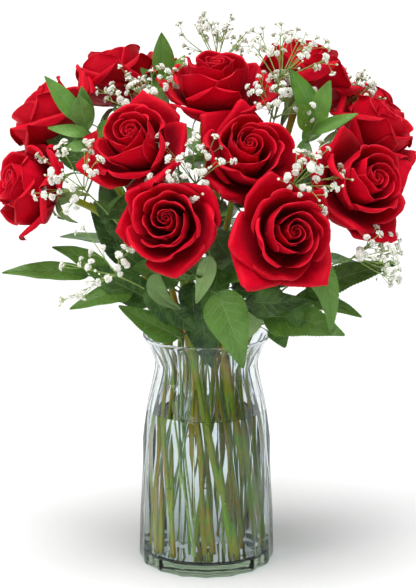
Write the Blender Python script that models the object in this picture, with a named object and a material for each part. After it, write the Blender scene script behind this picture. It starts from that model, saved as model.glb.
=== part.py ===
"""A dozen roses with baby's breath and ruscus, standing in water in a fluted glass vase.

Metres, +Z up. The origin is the centre of the vase's underside, and -Y is the front.
A place in the bouquet is given from the middle of the vase's mouth, as an azimuth in degrees
(0 is the front, 90 is +X), a reach away from the axis and a rise above the rim. Reach and rise
are in bloom widths, so that the bouquet opens out when its blooms grow.
A stem's slot is where it crosses the vase's neck: an azimuth and a share of the neck's room.
"""

import math
from collections import namedtuple

import bmesh
import bpy
from mathutils import Matrix, Quaternion, Vector

# The vase
VASE_HEIGHT = 0.200
BASE_RADIUS = 0.058
SHOULDER_RADIUS = 0.0545
NECK_RADIUS = 0.0435
RIM_RADIUS = 0.0545
NECK_DROP = 0.026
SHOULDER_DROP = 0.078
WAIST_DROP = 0.135
HEEL = 0.006
WALL = 0.0038
FLOOR = 0.010
FLUTES = 16
FLUTE_DEPTH = 0.0011
WATER_LEVEL = 0.134

# The flowers
BLOOM_WIDTH = 0.082
BLOOM_HEIGHT = 0.050
PETALS_IN_RING = 5
SEAT_RADIUS = 0.0085
HIP_HEIGHT = 0.013
SEPAL_LENGTH = 0.026
SEPAL_WIDTH = 0.008
ROSE_STEM = 0.0062
LEAF_STALK = 0.0024
LEAF_THICKNESS = 0.0009
RUSCUS_STEM = 0.0030
SPRAY_STEM = 0.0024
SPRAY_BRANCH = 0.0012
FLORET = 0.0064

# How the stems stand in the vase
FOOT_SPREAD = 1.25
SPIRAL = math.radians(48)
NECK_HANDLE = 0.050
STEM_STEPS = 7

CLEARANCE = 0.0003
NECK_CLEARANCE = 0.0015

Place = namedtuple("Place", "azimuth reach rise")
Lean = namedtuple("Lean", "azimuth angle")
Slot = namedtuple("Slot", "azimuth share")

# Each rose: its slot, where its bloom sits on its stem, and which way the bloom leans from upright.
ROSES = {
    "rose_01": (Slot(-14, 0.95), Place(-18, 1.01, 1.28), Lean(-12, 72)),
    "rose_02": (Slot(30, 0.95), Place(36, 1.19, 1.18), Lean(16, 76)),
    "rose_03": (Slot(-42, 0.56), Place(-48, 0.79, 1.90), Lean(-30, 50)),
    "rose_04": (Slot(28, 0.52), Place(42, 0.55, 1.78), Lean(14, 52)),
    "rose_05": (Slot(74, 0.95), Place(76, 1.45, 1.56), Lean(38, 66)),
    "rose_06": (Slot(-84, 0.95), Place(-81, 1.55, 1.49), Lean(-68, 72)),
    "rose_07": (Slot(160, 0.16), Place(150, 0.24, 2.28), Lean(0, 14)),
    "rose_08": (Slot(-108, 0.95), Place(-98, 1.40, 2.06), Lean(-100, 48)),
    "rose_09": (Slot(-134, 0.90), Place(-134, 1.24, 2.26), Lean(-150, 20)),
    "rose_10": (Slot(146, 0.56), Place(119, 1.07, 2.36), Lean(150, 30)),
    "rose_11": (Slot(102, 0.95), Place(99, 1.58, 1.86), Lean(88, 42)),
    "rose_12": (Slot(128, 0.95), Place(124, 1.86, 1.94), Lean(128, 50)),
}

# Each rose leaf: the rose whose stem it grows from, how far up that stem above the rim in bloom
# widths, and its leaflets from the lowest to the tip. A leaflet has the places of its root, middle
# and tip, its width, and how far its face leans from straight up towards the viewer.
Leaflet = namedtuple("Leaflet", "root middle tip width face")
ROSE_LEAVES = {
    "left_leaf": (
        "rose_06",
        0.42,
        [
            Leaflet(Place(-70, 0.84, 0.52), Place(-66, 1.10, 0.50), Place(-68, 1.48, 0.38), 0.026, 35),
            Leaflet(Place(-72, 1.06, 0.64), Place(-74, 1.26, 0.84), Place(-76, 1.60, 0.98), 0.022, 40),
            Leaflet(Place(-74, 1.24, 0.68), Place(-76, 1.66, 0.74), Place(-79, 2.10, 0.72), 0.020, 40),
        ],
    ),
    "rim_leaf": (
        "rose_01",
        0.10,
        [Leaflet(Place(-22, 0.72, 0.12), Place(-40, 0.84, 0.24), Place(-56, 1.06, 0.42), 0.028, 40)],
    ),
    "front_leaf": (
        "rose_01",
        0.60,
        [Leaflet(Place(6, 0.88, 0.62), Place(13, 1.00, 0.34), Place(20, 1.06, -0.12), 0.036, 78)],
    ),
    "right_leaf": (
        "rose_05",
        0.36,
        [
            Leaflet(Place(76, 0.90, 0.34), Place(74, 1.20, 0.40), Place(70, 1.66, 0.30), 0.028, 30),
            Leaflet(Place(78, 1.04, 0.46), Place(80, 1.42, 0.64), Place(82, 1.98, 0.80), 0.030, 40),
        ],
    ),
    "right_front_leaf": (
        "rose_02",
        0.36,
        [Leaflet(Place(40, 0.88, 0.30), Place(50, 1.18, 0.32), Place(58, 1.60, 0.18), 0.032, 35)],
    ),
    "right_hanging_leaf": (
        "rose_02",
        0.74,
        [Leaflet(Place(46, 1.22, 0.92), Place(52, 1.47, 0.74), Place(53, 1.54, 0.22), 0.024, 75)],
    ),
    "back_left_leaf": (
        "rose_09",
        0.45,
        [
            Leaflet(Place(-140, 0.80, 0.56), Place(-146, 1.12, 0.60), Place(-152, 1.50, 0.44), 0.030, -35),
            Leaflet(Place(-130, 0.92, 0.70), Place(-122, 1.30, 0.84), Place(-118, 1.76, 0.86), 0.028, -35),
        ],
    ),
    "back_right_leaf": (
        "rose_12",
        0.40,
        [
            Leaflet(Place(142, 0.80, 0.50), Place(154, 1.12, 0.56), Place(164, 1.50, 0.42), 0.030, -35),
            Leaflet(Place(126, 0.96, 0.58), Place(118, 1.34, 0.66), Place(110, 1.74, 0.60), 0.028, -35),
        ],
    ),
}

# Each ruscus sprig: its slot, where its tip is, which way its tip leans, and its leaves from the
# tip down. A leaf has the way it leans from upright, its length and its width.
Blade = namedtuple("Blade", "lean length width")
RUSCUS = {
    "ruscus_upper_left": (
        Slot(-84, 0.52),
        Place(-71, 1.32, 2.26),
        Lean(-70, 40),
        [
            Blade(Lean(-80, 37), 0.048, 0.017),
            Blade(Lean(-10, 34), 0.034, 0.020),
            Blade(Lean(-20, 18), 0.040, 0.016),
            Blade(Lean(-78, 80), 0.036, 0.012),
        ],
    ),
    "ruscus_upper_right": (
        Slot(74, 0.56),
        Place(72, 1.16, 2.26),
        Lean(60, 34),
        [
            Blade(Lean(-72, 28), 0.050, 0.020),
            Blade(Lean(50, 22), 0.042, 0.018),
            Blade(Lean(-30, 44), 0.034, 0.020),
            Blade(Lean(84, 66), 0.044, 0.012),
            Blade(Lean(-14, 150), 0.046, 0.016),
        ],
    ),
    "ruscus_top": (
        Slot(-150, 0.56),
        Place(-144, 0.74, 2.52),
        Lean(-120, 12),
        [
            Blade(Lean(-20, 8), 0.046, 0.020),
            Blade(Lean(80, 30), 0.034, 0.016),
            Blade(Lean(-90, 44), 0.032, 0.016),
            Blade(Lean(180, 46), 0.036, 0.016),
        ],
    ),
    "ruscus_back": (
        Slot(178, 0.95),
        Place(178, 1.20, 1.70),
        Lean(180, 50),
        [
            Blade(Lean(180, 20), 0.048, 0.020),
            Blade(Lean(-120, 50), 0.044, 0.018),
            Blade(Lean(120, 50), 0.044, 0.018),
            Blade(Lean(180, 100), 0.044, 0.018),
        ],
    ),
}

# Each spray of baby's breath: its slot, where it starts to branch, which way it leans, how far
# its florets stand out from there and how wide they spread in bloom widths, and their number.
Spray = namedtuple("Spray", "slot hub lean reach spread florets")
SPRAYS = {
    "babys_breath_front": Spray(Slot(-6, 0.50), Place(-8, 0.74, 1.69), Lean(-8, 54), 0.42, 0.18, 7),
    "babys_breath_front_right": Spray(Slot(54, 0.48), Place(49, 1.16, 1.68), Lean(44, 66), 0.36, 0.18, 7),
    "babys_breath_lower_left": Spray(Slot(-61, 0.95), Place(-48, 1.20, 0.78), Lean(-52, 70), 0.45, 0.36, 8),
    "babys_breath_left": Spray(Slot(-64, 0.56), Place(-62, 1.38, 1.62), Lean(-36, 62), 0.34, 0.20, 7),
    "babys_breath_upper_left": Spray(Slot(-118, 0.52), Place(-100, 0.56, 2.26), Lean(-80, 24), 0.40, 0.26, 8),
    "babys_breath_top": Spray(Slot(-178, 0.56), Place(172, 0.80, 2.70), Lean(160, 12), 0.42, 0.36, 9),
    "babys_breath_top_right": Spray(Slot(118, 0.56), Place(88, 0.74, 2.66), Lean(50, 16), 0.42, 0.30, 9),
    "babys_breath_upper_right": Spray(Slot(98, 0.50), Place(82, 0.70, 2.26), Lean(64, 28), 0.34, 0.20, 7),
    "babys_breath_right": Spray(Slot(115, 0.95), Place(117, 1.61, 2.18), Lean(98, 26), 0.42, 0.14, 7),
    "babys_breath_lower_right": Spray(Slot(52, 0.95), Place(68, 1.60, 0.92), Lean(70, 78), 0.40, 0.26, 8),
}

GOLDEN_TURN = math.pi * (3 - math.sqrt(5))
NECK_HEIGHT = VASE_HEIGHT - NECK_DROP
UP = Vector((0, 0, 1))
TOWARDS_VIEWER = Vector((0, -1, 0))


def direction(azimuth, angle):
    """The unit vector that leans by angle from straight up towards azimuth, both in degrees."""
    a, lean = math.radians(azimuth), math.radians(angle)
    return Vector((math.sin(a) * math.sin(lean), -math.cos(a) * math.sin(lean), math.cos(lean)))


def at(place):
    """A place in the bouquet as a point."""
    outwards = direction(place.azimuth, 90) * place.reach
    return (outwards + UP * place.rise) * BLOOM_WIDTH + UP * VASE_HEIGHT


def material(name, colour, roughness, transmission=0.0):
    made = bpy.data.materials.new(name)
    made.use_nodes = True
    shader = made.node_tree.nodes["Principled BSDF"]
    shader.inputs["Base Color"].default_value = (*colour, 1)
    shader.inputs["Roughness"].default_value = roughness
    shader.inputs["Transmission Weight"].default_value = transmission
    return made


# Shells: a shell is a list of rings of points, skinned in order and capped at both ends.


def add_shell(form, rings):
    """Adds one closed shell to a bmesh. Its rings turn anticlockwise seen from the last ring."""
    loops = [[form.verts.new(p) for p in ring] for ring in rings]
    for low, high in zip(loops, loops[1:]):
        for i in range(len(low)):
            j = (i + 1) % len(low)
            form.faces.new((low[i], low[j], high[j], high[i]))
    form.faces.new(reversed(loops[0]))
    form.faces.new(loops[-1])


def mesh_of(name, shells):
    form = bmesh.new()
    for rings in shells:
        add_shell(form, rings)
    bmesh.ops.triangulate(form, faces=form.faces)
    mesh = bpy.data.meshes.new(name)
    form.to_mesh(mesh)
    form.free()
    return mesh


def node(name, mesh, finish, parent=None):
    """One named object of the model."""
    obj = bpy.data.objects.new(name, mesh)
    if finish.name not in mesh.materials:
        mesh.materials.append(finish)
    mesh.shade_smooth()
    mesh.set_sharp_from_angle(angle=math.radians(40))
    bpy.context.collection.objects.link(obj)
    obj.parent = parent
    return obj


def combined(name, mesh, others, operation):
    """The mesh joined with, or cut by, the closed shells of another mesh."""
    kept = bpy.data.objects.new("kept", mesh)
    tool = bpy.data.objects.new("tool", others)
    for obj in (kept, tool):
        bpy.context.collection.objects.link(obj)
    change = kept.modifiers.new(operation, "BOOLEAN")
    change.operation = operation
    change.object = tool
    change.use_self = operation == "UNION"
    graph = bpy.context.evaluated_depsgraph_get()
    made = bpy.data.meshes.new_from_object(kept.evaluated_get(graph))
    made.name = name
    for obj in (kept, tool):
        bpy.data.objects.remove(obj)
    return made


def fused(name, shells):
    """One closed mesh of overlapping shells, the first of which touches the others."""
    return combined(name, mesh_of("trunk", shells[:1]), mesh_of("rest", shells[1:]), "UNION")


def frames_along(points):
    """A frame (side, other side, forwards) at each point of a path, turned as little as possible."""
    forwards = [(b - a).normalized() for a, b in zip(points, points[1:])]
    forwards = [forwards[0], *((a + b).normalized() for a, b in zip(forwards, forwards[1:])), forwards[-1]]
    side = forwards[0].orthogonal().normalized()
    found = []
    for forward in forwards:
        side = (side - forward * side.dot(forward)).normalized()
        found.append((side, forward.cross(side), forward))
    return found


def tube(points, radii, sides):
    """A shell round a path, with a radius at each point."""
    rings = []
    for centre, radius, (side, other, _) in zip(points, radii, frames_along(points)):
        turns = [2 * math.pi * i / sides for i in range(sides)]
        rings.append([centre + (side * math.cos(t) + other * math.sin(t)) * radius for t in turns])
    return rings


def blade(points, widths, normal, thickness):
    """A thin leaf's shell: along a midrib, with a width at each point and its upper face near normal."""
    rings = []
    for centre, width, (_, _, forward) in zip(points, widths, frames_along(points)):
        across = forward.cross(normal).normalized()
        face = across.cross(forward)
        half, deep = across * width / 2, face * thickness / 2
        rings.append([centre - half, centre - deep, centre + half, centre + deep])
    return rings


def bezier(start, start_handle, end_handle, end, steps):
    """Points along a cubic curve, without its first."""
    found = []
    for i in range(1, steps + 1):
        t = i / steps
        s = 1 - t
        found.append(
            start * s**3 + start_handle * 3 * s * s * t + end_handle * 3 * s * t * t + end * t**3
        )
    return found


# The vase and the water


def vase_inside():
    """(height, radius) of the vase's inner wall, from the rim down to the floor."""
    return [
        (VASE_HEIGHT, RIM_RADIUS - WALL),
        (NECK_HEIGHT, NECK_RADIUS - WALL),
        (VASE_HEIGHT - SHOULDER_DROP, SHOULDER_RADIUS - WALL),
        (FLOOR + HEEL, BASE_RADIUS - WALL),
        (FLOOR, BASE_RADIUS - WALL - HEEL),
    ]


def inside_radius(height):
    """The inner wall's radius at a height."""
    stations = vase_inside()
    for (high, upper), (low, lower) in zip(stations, stations[1:]):
        if height >= low:
            return lower + (upper - lower) * (height - low) / (high - low)
    return stations[-1][1]


def ring_at(height, radius, flute=0.0):
    """A ring of two points for each flute. Every second point is pushed out by flute, the rest in."""
    points = []
    for i in range(2 * FLUTES):
        turn = math.pi * i / FLUTES
        out = radius + (flute if i % 2 else -flute)
        points.append(Vector((out * math.cos(turn), out * math.sin(turn), height)))
    return points


def make_vase(glass):
    waist = VASE_HEIGHT - WAIST_DROP
    outside = [
        ring_at(0, BASE_RADIUS - HEEL),
        ring_at(HEEL, BASE_RADIUS),
        ring_at(waist, (BASE_RADIUS + SHOULDER_RADIUS) / 2, -FLUTE_DEPTH / 2),
        ring_at(VASE_HEIGHT - SHOULDER_DROP, SHOULDER_RADIUS, FLUTE_DEPTH / 2),
        ring_at(NECK_HEIGHT, NECK_RADIUS, -FLUTE_DEPTH / 2),
        ring_at(VASE_HEIGHT, RIM_RADIUS),
    ]
    inside = [ring_at(height, radius) for height, radius in vase_inside()]
    node("vase", mesh_of("vase", [outside + inside]), glass)


def make_water(water, wet_stems):
    """The water fills the vase up to its level, clear of the glass and of each stem in it."""
    gap = CLEARANCE / math.cos(math.pi / (2 * FLUTES))
    wall = [(h, r) for h, r in reversed(vase_inside()) if h < WATER_LEVEL]
    rings = [ring_at(height + CLEARANCE, radius - gap) for height, radius in wall]
    rings.append(ring_at(WATER_LEVEL, inside_radius(WATER_LEVEL) - gap))
    body = mesh_of("body", [rings])
    holes = mesh_of("holes", wet_stems)
    node("water", combined("water", body, holes, "DIFFERENCE"), water)


# Stems


def neck_point(slot, stem):
    room = NECK_RADIUS - WALL - stem / 2 - NECK_CLEARANCE
    return direction(slot.azimuth, 90) * room * slot.share + UP * NECK_HEIGHT


def foot_point(neck, stem):
    """The stems stand in a spiral: each foot is its neck point spread out and turned about the axis."""
    foot = Matrix.Rotation(SPIRAL, 3, "Z") @ neck * FOOT_SPREAD
    return Vector((foot.x, foot.y, FLOOR + stem / 2 + 2 * CLEARANCE))


def stem_path(slot, stem, tip, lean, handle):
    """A stem's centre line: straight from its foot to the neck, then curved up to its tip."""
    neck = neck_point(slot, stem)
    foot = foot_point(neck, stem)
    rise = (neck - foot).normalized()
    top = tip - lean * stem
    bend = bezier(neck, neck + rise * NECK_HANDLE, top - lean * handle, top, STEM_STEPS)
    return [foot, neck, *bend, tip]


def hole_for(path, stem, sides):
    """The shell that a stem takes out of the water."""
    foot, neck = path[0], path[1]
    rise = (neck - foot).normalized()
    radius = stem / 2 + CLEARANCE / math.cos(math.pi / sides)
    return tube([foot - rise * CLEARANCE, neck], [radius, radius], sides)


# Roses


def bloom_shell():
    """A bloom: cupped outer petals round a lower gap and a bud, each ring of petals turned on."""
    profile = [
        (2 * SEAT_RADIUS / BLOOM_WIDTH, 0.0, 0.0),
        (0.66, 0.18, 0.02),
        (0.92, 0.48, 0.04),
        (0.95, 0.76, 0.05),
        (0.86, 0.92, 0.05),
        (0.62, 0.80, 0.03),
        (0.46, 0.98, 0.04),
        (0.22, 1.00, 0.03),
    ]
    sides = 2 * PETALS_IN_RING
    rings = []
    for row, (share, height, lobe) in enumerate(profile):
        ring = []
        for i in range(sides):
            turn = math.pi * i / PETALS_IN_RING
            out = BLOOM_WIDTH / 2 * (share + lobe * (-1) ** (i + row))
            ring.append(Vector((out * math.cos(turn), out * math.sin(turn), BLOOM_HEIGHT * height)))
        rings.append(ring)
    return rings


def calyx_shells():
    """The hip under the bloom, with five sepals bent back. Its top is a clearance below the seat."""
    foot = -CLEARANCE - HIP_HEIGHT
    centre = [UP * (foot + HIP_HEIGHT * share) for share in (0, 0.45, 1)]
    shells = [tube(centre, [ROSE_STEM / 2, SEAT_RADIUS * 0.85, SEAT_RADIUS], 6)]
    for i in range(PETALS_IN_RING):
        outwards = direction(360 * i / PETALS_IN_RING, 90)
        root = outwards * SEAT_RADIUS * 0.6 + UP * (foot + HIP_HEIGHT * 0.7)
        bend = outwards * SEPAL_LENGTH * 0.6 + UP * (foot + HIP_HEIGHT * 0.5)
        end = outwards * SEPAL_LENGTH * 0.9 - UP * (HIP_HEIGHT * 1.2)
        widths = [SEPAL_WIDTH * share for share in (0.8, 0.7, 0.1)]
        shells.append(blade([root, bend, end], widths, outwards * 0.5 + UP, 2 * LEAF_THICKNESS))
    return shells


def make_rose(name, slot, place, lean, meshes, finishes):
    """A rose's bloom and calyx on an empty at the bloom's seat, and the stem below. Returns its path."""
    seat, axis = at(place), direction(*lean)
    holder = bpy.data.objects.new(name, None)
    holder.location = seat
    holder.rotation_euler = axis.to_track_quat("Z", "Y").to_euler()
    bpy.context.collection.objects.link(holder)
    node(name + "_bloom", meshes["bloom"], finishes["petal"], holder)
    node(name + "_calyx", meshes["calyx"], finishes["sepal"], holder)
    top = seat - axis * (2 * CLEARANCE + HIP_HEIGHT)
    path = stem_path(slot, ROSE_STEM, top, axis, BLOOM_WIDTH * 0.6)
    node(name + "_stem", mesh_of(name, [tube(path, [ROSE_STEM / 2] * len(path), 6)]), finishes["stem"])
    return path


# Leaves


def leaflet_shell(leaflet):
    """A leaflet along a curve from its root through its middle to its tip."""
    root, middle, tip = (at(place) for place in leaflet[:3])
    handle = middle * 2 - (root + tip) / 2
    line = [root, *bezier(root, root.lerp(handle, 2 / 3), tip.lerp(handle, 2 / 3), tip, 5)]
    widths = [LEAF_STALK, *(leaflet.width * share for share in (0.72, 1, 0.92, 0.6)), LEAF_STALK / 3]
    face = math.radians(leaflet.face)
    normal = UP * math.cos(face) + TOWARDS_VIEWER * math.sin(face)
    return blade(line, widths, normal, 2 * LEAF_THICKNESS)


def stalk_root(stem_line, height, towards):
    """Where a leaf's stalk starts: beside a rose's stem at a height, on the side towards a point."""
    for low, high in zip(stem_line[1:], stem_line[2:]):
        if height <= high.z:
            break
    centre = low.lerp(high, (height - low.z) / (high.z - low.z))
    rise = (high - low).normalized()
    away = towards - centre
    away -= rise * away.dot(rise)
    return centre + away.normalized() * (ROSE_STEM / 2 + LEAF_STALK / 2 + 2 * CLEARANCE)


def make_rose_leaf(name, stem_line, up_stem, leaflets, leaf):
    """A compound leaf: its stalk starts beside a rose's stem and runs through its leaflets' roots."""
    roots = [at(one.root) for one in leaflets]
    start = stalk_root(stem_line, VASE_HEIGHT + up_stem * BLOOM_WIDTH, roots[0])
    stalk = [start, *roots, roots[-1].lerp(at(leaflets[-1].middle), 0.1)]
    shells = [tube(stalk, [LEAF_STALK / 2] * len(stalk), 5)]
    shells += [leaflet_shell(one) for one in leaflets]
    node(name, fused(name, shells), leaf)


def make_ruscus(name, slot, place, lean, blades, leaf):
    """A ruscus sprig: pointed leaves round the top of a thin stem. Returns the stem's path."""
    tip, axis = at(place), direction(*lean)
    path = stem_path(slot, RUSCUS_STEM, tip, axis, BLOOM_WIDTH * 0.5)
    shells = [tube(path, [RUSCUS_STEM / 2] * (len(path) - 1) + [RUSCUS_STEM / 4], 5)]
    for row, one in enumerate(blades):
        out = direction(*one.lean)
        root = tip - axis * RUSCUS_STEM * (0.2 + 1.2 * row)
        line = [root + out * one.length * share for share in (0, 0.25, 0.5, 0.8, 1)]
        widths = [one.width * share for share in (0.15, 0.7, 1, 0.6, 0.05)]
        shells.append(blade(line, widths, TOWARDS_VIEWER + UP * 0.6, 2 * LEAF_THICKNESS))
    node(name, fused(name, shells), leaf)
    return path


def floret_shell(centre, axis):
    """A small closed bead for one floret."""
    half = FLORET * 0.45
    return tube([centre - axis * half, centre, centre + axis * half], [half / 2, FLORET / 2, half / 2], 4)


def make_spray(name, spray, floret):
    """A spray of baby's breath: a thin stem that branches at its hub, with a floret on each branch."""
    hub, axis = at(spray.hub), direction(*spray.lean)
    path = stem_path(spray.slot, SPRAY_STEM, hub, axis, BLOOM_WIDTH * 0.5)
    shells = [tube(path, [SPRAY_STEM / 2] * (len(path) - 1) + [SPRAY_BRANCH / 2], 5)]
    side = axis.orthogonal().normalized()
    for i in range(spray.florets):
        share = math.sqrt((i + 0.5) / spray.florets)
        out = Quaternion(axis, i * GOLDEN_TURN) @ side
        reach = spray.reach * (1.0 - 0.35 * share * share)
        centre = hub + (axis * reach + out * spray.spread * share) * BLOOM_WIDTH
        root = hub - axis * SPRAY_STEM * (0.3 + 0.5 * (i % 3))
        shells.append(tube([root, centre], [SPRAY_BRANCH / 2] * 2, 4))
        shells.append(floret_shell(centre, (centre - root).normalized()))
    node(name, fused(name, shells), floret)
    return path


def main():
    for obj in list(bpy.data.objects):
        bpy.data.objects.remove(obj)
    finishes = {
        "glass": material("glass", (0.86, 0.92, 0.88), 0.03, 1.0),
        "water": material("water", (0.93, 0.97, 0.94), 0.02, 1.0),
        "petal": material("petal", (0.62, 0.004, 0.016), 0.55),
        "sepal": material("sepal", (0.22, 0.34, 0.10), 0.55),
        "stem": material("stem", (0.20, 0.28, 0.06), 0.50),
        "rose_leaf": material("rose_leaf", (0.05, 0.15, 0.04), 0.40),
        "ruscus_leaf": material("ruscus_leaf", (0.08, 0.22, 0.04), 0.40),
        "floret": material("floret", (0.90, 0.90, 0.84), 0.70),
    }
    meshes = {
        "bloom": mesh_of("bloom", [bloom_shell()]),
        "calyx": fused("calyx", calyx_shells()),
    }
    make_vase(finishes["glass"])
    stems = {}
    wet = []
    for name, (slot, place, lean) in ROSES.items():
        stems[name] = make_rose(name, slot, place, lean, meshes, finishes)
        wet.append(hole_for(stems[name], ROSE_STEM, 6))
    for name, (host, up_stem, leaflets) in ROSE_LEAVES.items():
        make_rose_leaf(name, stems[host], up_stem, leaflets, finishes["rose_leaf"])
    for name, (slot, place, lean, blades) in RUSCUS.items():
        path = make_ruscus(name, slot, place, lean, blades, finishes["ruscus_leaf"])
        wet.append(hole_for(path, RUSCUS_STEM, 5))
    for name, spray in SPRAYS.items():
        path = make_spray(name, spray, finishes["floret"])
        wet.append(hole_for(path, SPRAY_STEM, 5))
    make_water(finishes["water"], wet)


main()
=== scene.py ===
import math

import bmesh
import bpy
import numpy as np
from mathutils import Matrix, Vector


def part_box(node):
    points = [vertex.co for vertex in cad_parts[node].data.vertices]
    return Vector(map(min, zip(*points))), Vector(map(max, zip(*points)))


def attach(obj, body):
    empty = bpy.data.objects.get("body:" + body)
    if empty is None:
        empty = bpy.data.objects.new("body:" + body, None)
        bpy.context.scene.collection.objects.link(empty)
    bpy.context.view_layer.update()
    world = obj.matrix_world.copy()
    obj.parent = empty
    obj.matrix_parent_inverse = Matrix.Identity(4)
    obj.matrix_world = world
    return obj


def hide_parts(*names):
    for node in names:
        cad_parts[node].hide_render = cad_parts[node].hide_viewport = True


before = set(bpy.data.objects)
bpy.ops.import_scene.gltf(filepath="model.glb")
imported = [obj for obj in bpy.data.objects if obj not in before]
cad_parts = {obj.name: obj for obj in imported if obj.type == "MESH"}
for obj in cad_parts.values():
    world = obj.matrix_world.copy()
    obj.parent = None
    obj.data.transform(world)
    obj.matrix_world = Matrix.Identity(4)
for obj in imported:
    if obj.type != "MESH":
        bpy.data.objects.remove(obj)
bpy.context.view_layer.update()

# A dozen red roses with baby's breath, ruscus and rose leaves, in water in a fluted glass vase.
# Everything is placed from the CAD frame: the stems' centre lines, the blooms' seats and axes, and
# the vase's rim come from its nodes. Places in the bouquet are given as in the CAD: an azimuth
# (0 is the front, 90 is +X), a reach from the axis and a rise above the rim, in bloom widths.

MM = 0.001
UP = np.array([0.0, 0.0, 1.0])
FRONT = np.array([0.0, -1.0, 0.0])
GOLDEN_TURN = math.pi * (3 - math.sqrt(5))
# How far a tube's ends bulge, as a share of its radius.
TUBE_END = 0.35
WATER_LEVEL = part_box("water")[1].z
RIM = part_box("vase")[1].z
VASE_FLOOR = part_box("water")[0].z


# Numbers


def unit(v):
    v = np.asarray(v, float)
    return v / np.maximum(np.linalg.norm(v, axis=-1, keepdims=True), 1e-12)


def lerp(a, b, t):
    return a + (b - a) * t


def smooth_step(low, high, x):
    t = np.clip((x - low) / (high - low), 0, 1)
    return t * t * (3 - 2 * t)


def direction(azimuth, angle):
    """The unit vector that leans by angle from straight up towards azimuth, both in degrees."""
    a, lean = math.radians(azimuth), math.radians(angle)
    return np.array([math.sin(a) * math.sin(lean), -math.cos(a) * math.sin(lean), math.cos(lean)])


def turned(v, axis, angle):
    """v turned about a unit axis, by the rotation formula."""
    along = (v @ axis) * axis
    return along + (v - along) * math.cos(angle) + np.cross(axis, v) * math.sin(angle)


def turned_flat(x, y, angle):
    """x and y turned about the origin."""
    cos, sin = math.cos(angle), math.sin(angle)
    return x * cos - y * sin, x * sin + y * cos


def bezier(a, b, c, d, count):
    t = np.linspace(0, 1, count)[:, None]
    s = 1 - t
    return a * s**3 + 3 * b * s * s * t + 3 * c * s * t * t + d * t**3


def smooth_line(points, count):
    """A smooth curve through the points, at even steps along it."""
    p = np.asarray(points, float)
    padded = np.vstack([2 * p[0] - p[1], p, 2 * p[-1] - p[-2]])
    fine = []
    for i in range(1, len(padded) - 2):
        t = np.linspace(0, 1, 12, endpoint=False)[:, None]
        a, b, c, d = padded[i - 1 : i + 3]
        fine.append(
            0.5 * (2 * b + (c - a) * t + (2 * a - 5 * b + 4 * c - d) * t**2 + (3 * b - a - 3 * c + d) * t**3)
        )
    fine = np.vstack([*fine, p[-1:]])
    run = np.concatenate([[0], np.cumsum(np.linalg.norm(np.diff(fine, axis=0), axis=1))])
    steps = np.linspace(0, run[-1], count)
    return np.stack([np.interp(steps, run, fine[:, k]) for k in range(3)], 1)


def frames_along(line):
    """The side, other side and forward directions at each point of a line, with as little twist as can be."""
    forward = unit(np.gradient(line, axis=0))
    side = unit(np.cross(forward[0], [0.31, 0.87, 0.39]))
    sides = []
    for f in forward:
        side = unit(side - f * (side @ f))
        sides.append(side)
    sides = np.array(sides)
    return sides, np.cross(forward, sides), forward


# Meshes


class Form:
    """Closed shells gathered for one piece. tone and mark are numbers in 0..1 that its material reads."""

    def __init__(self):
        self.points, self.faces, self.across, self.marks, self.tones = [], [], [], [], []
        self.count = 0

    def add(self, points, faces, sheet=None, mark=0.0, tone=0.5):
        n = len(points)
        self.points.append(points)
        self.faces += [tuple(int(i) + self.count for i in f) for f in faces]
        self.across.append(np.zeros((n, 2)) if sheet is None else sheet)
        self.marks.append(np.broadcast_to(mark, n))
        self.tones.append(np.broadcast_to(tone, n))
        self.count += n

    def add_mesh(self, mesh):
        """Adds a mesh that has the same attributes."""
        points = np.array([v.co for v in mesh.vertices], float).reshape(-1, 3)
        read = {}
        for name in ("mark", "tone"):
            values = np.zeros(len(points), np.float32)
            mesh.attributes[name].data.foreach_get("value", values)
            read[name] = values
        self.add(points, [tuple(p.vertices) for p in mesh.polygons], None, **read)

    def mesh(self, name, sharp=None):
        made = bpy.data.meshes.new(name)
        points = np.vstack(self.points)
        made.from_pydata(points.tolist(), [], self.faces)
        for key, values in (("mark", self.marks), ("tone", self.tones)):
            stored = made.attributes.new(key, "FLOAT", "POINT")
            stored.data.foreach_set("value", np.concatenate(values).astype(np.float32))
        corners = np.empty(len(made.loops), np.int32)
        made.loops.foreach_get("vertex_index", corners)
        layer = made.uv_layers.new(name="sheet")
        layer.data.foreach_set("uv", np.vstack(self.across)[corners].astype(np.float32).ravel())
        made.shade_smooth()
        if sharp:
            made.set_sharp_from_angle(angle=math.radians(sharp))
        return made


def show(name, mesh, finish, node):
    """One finished piece, in place of its CAD node."""
    mesh.materials.append(finish)
    piece = bpy.data.objects.new(name, mesh)
    bpy.context.scene.collection.objects.link(piece)
    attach(piece, "root")
    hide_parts(node)


def grid_faces(rows, columns, start=0, closed=False):
    """Quads over a grid of points, row by row. closed joins each row's ends."""
    faces = []
    for j in range(rows - 1):
        for i in range(columns if closed else columns - 1):
            k = (i + 1) % columns
            low, high = start + j * columns, start + (j + 1) * columns
            faces.append((low + i, low + k, high + k, high + i))
    return faces


def sheet_over(u, v):
    """Sheet coordinates over a grid, from u in -1..1 along its rows and v in 0..1 up it."""
    return np.stack(np.broadcast_arrays((u + 1) / 2, v), -1)


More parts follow.
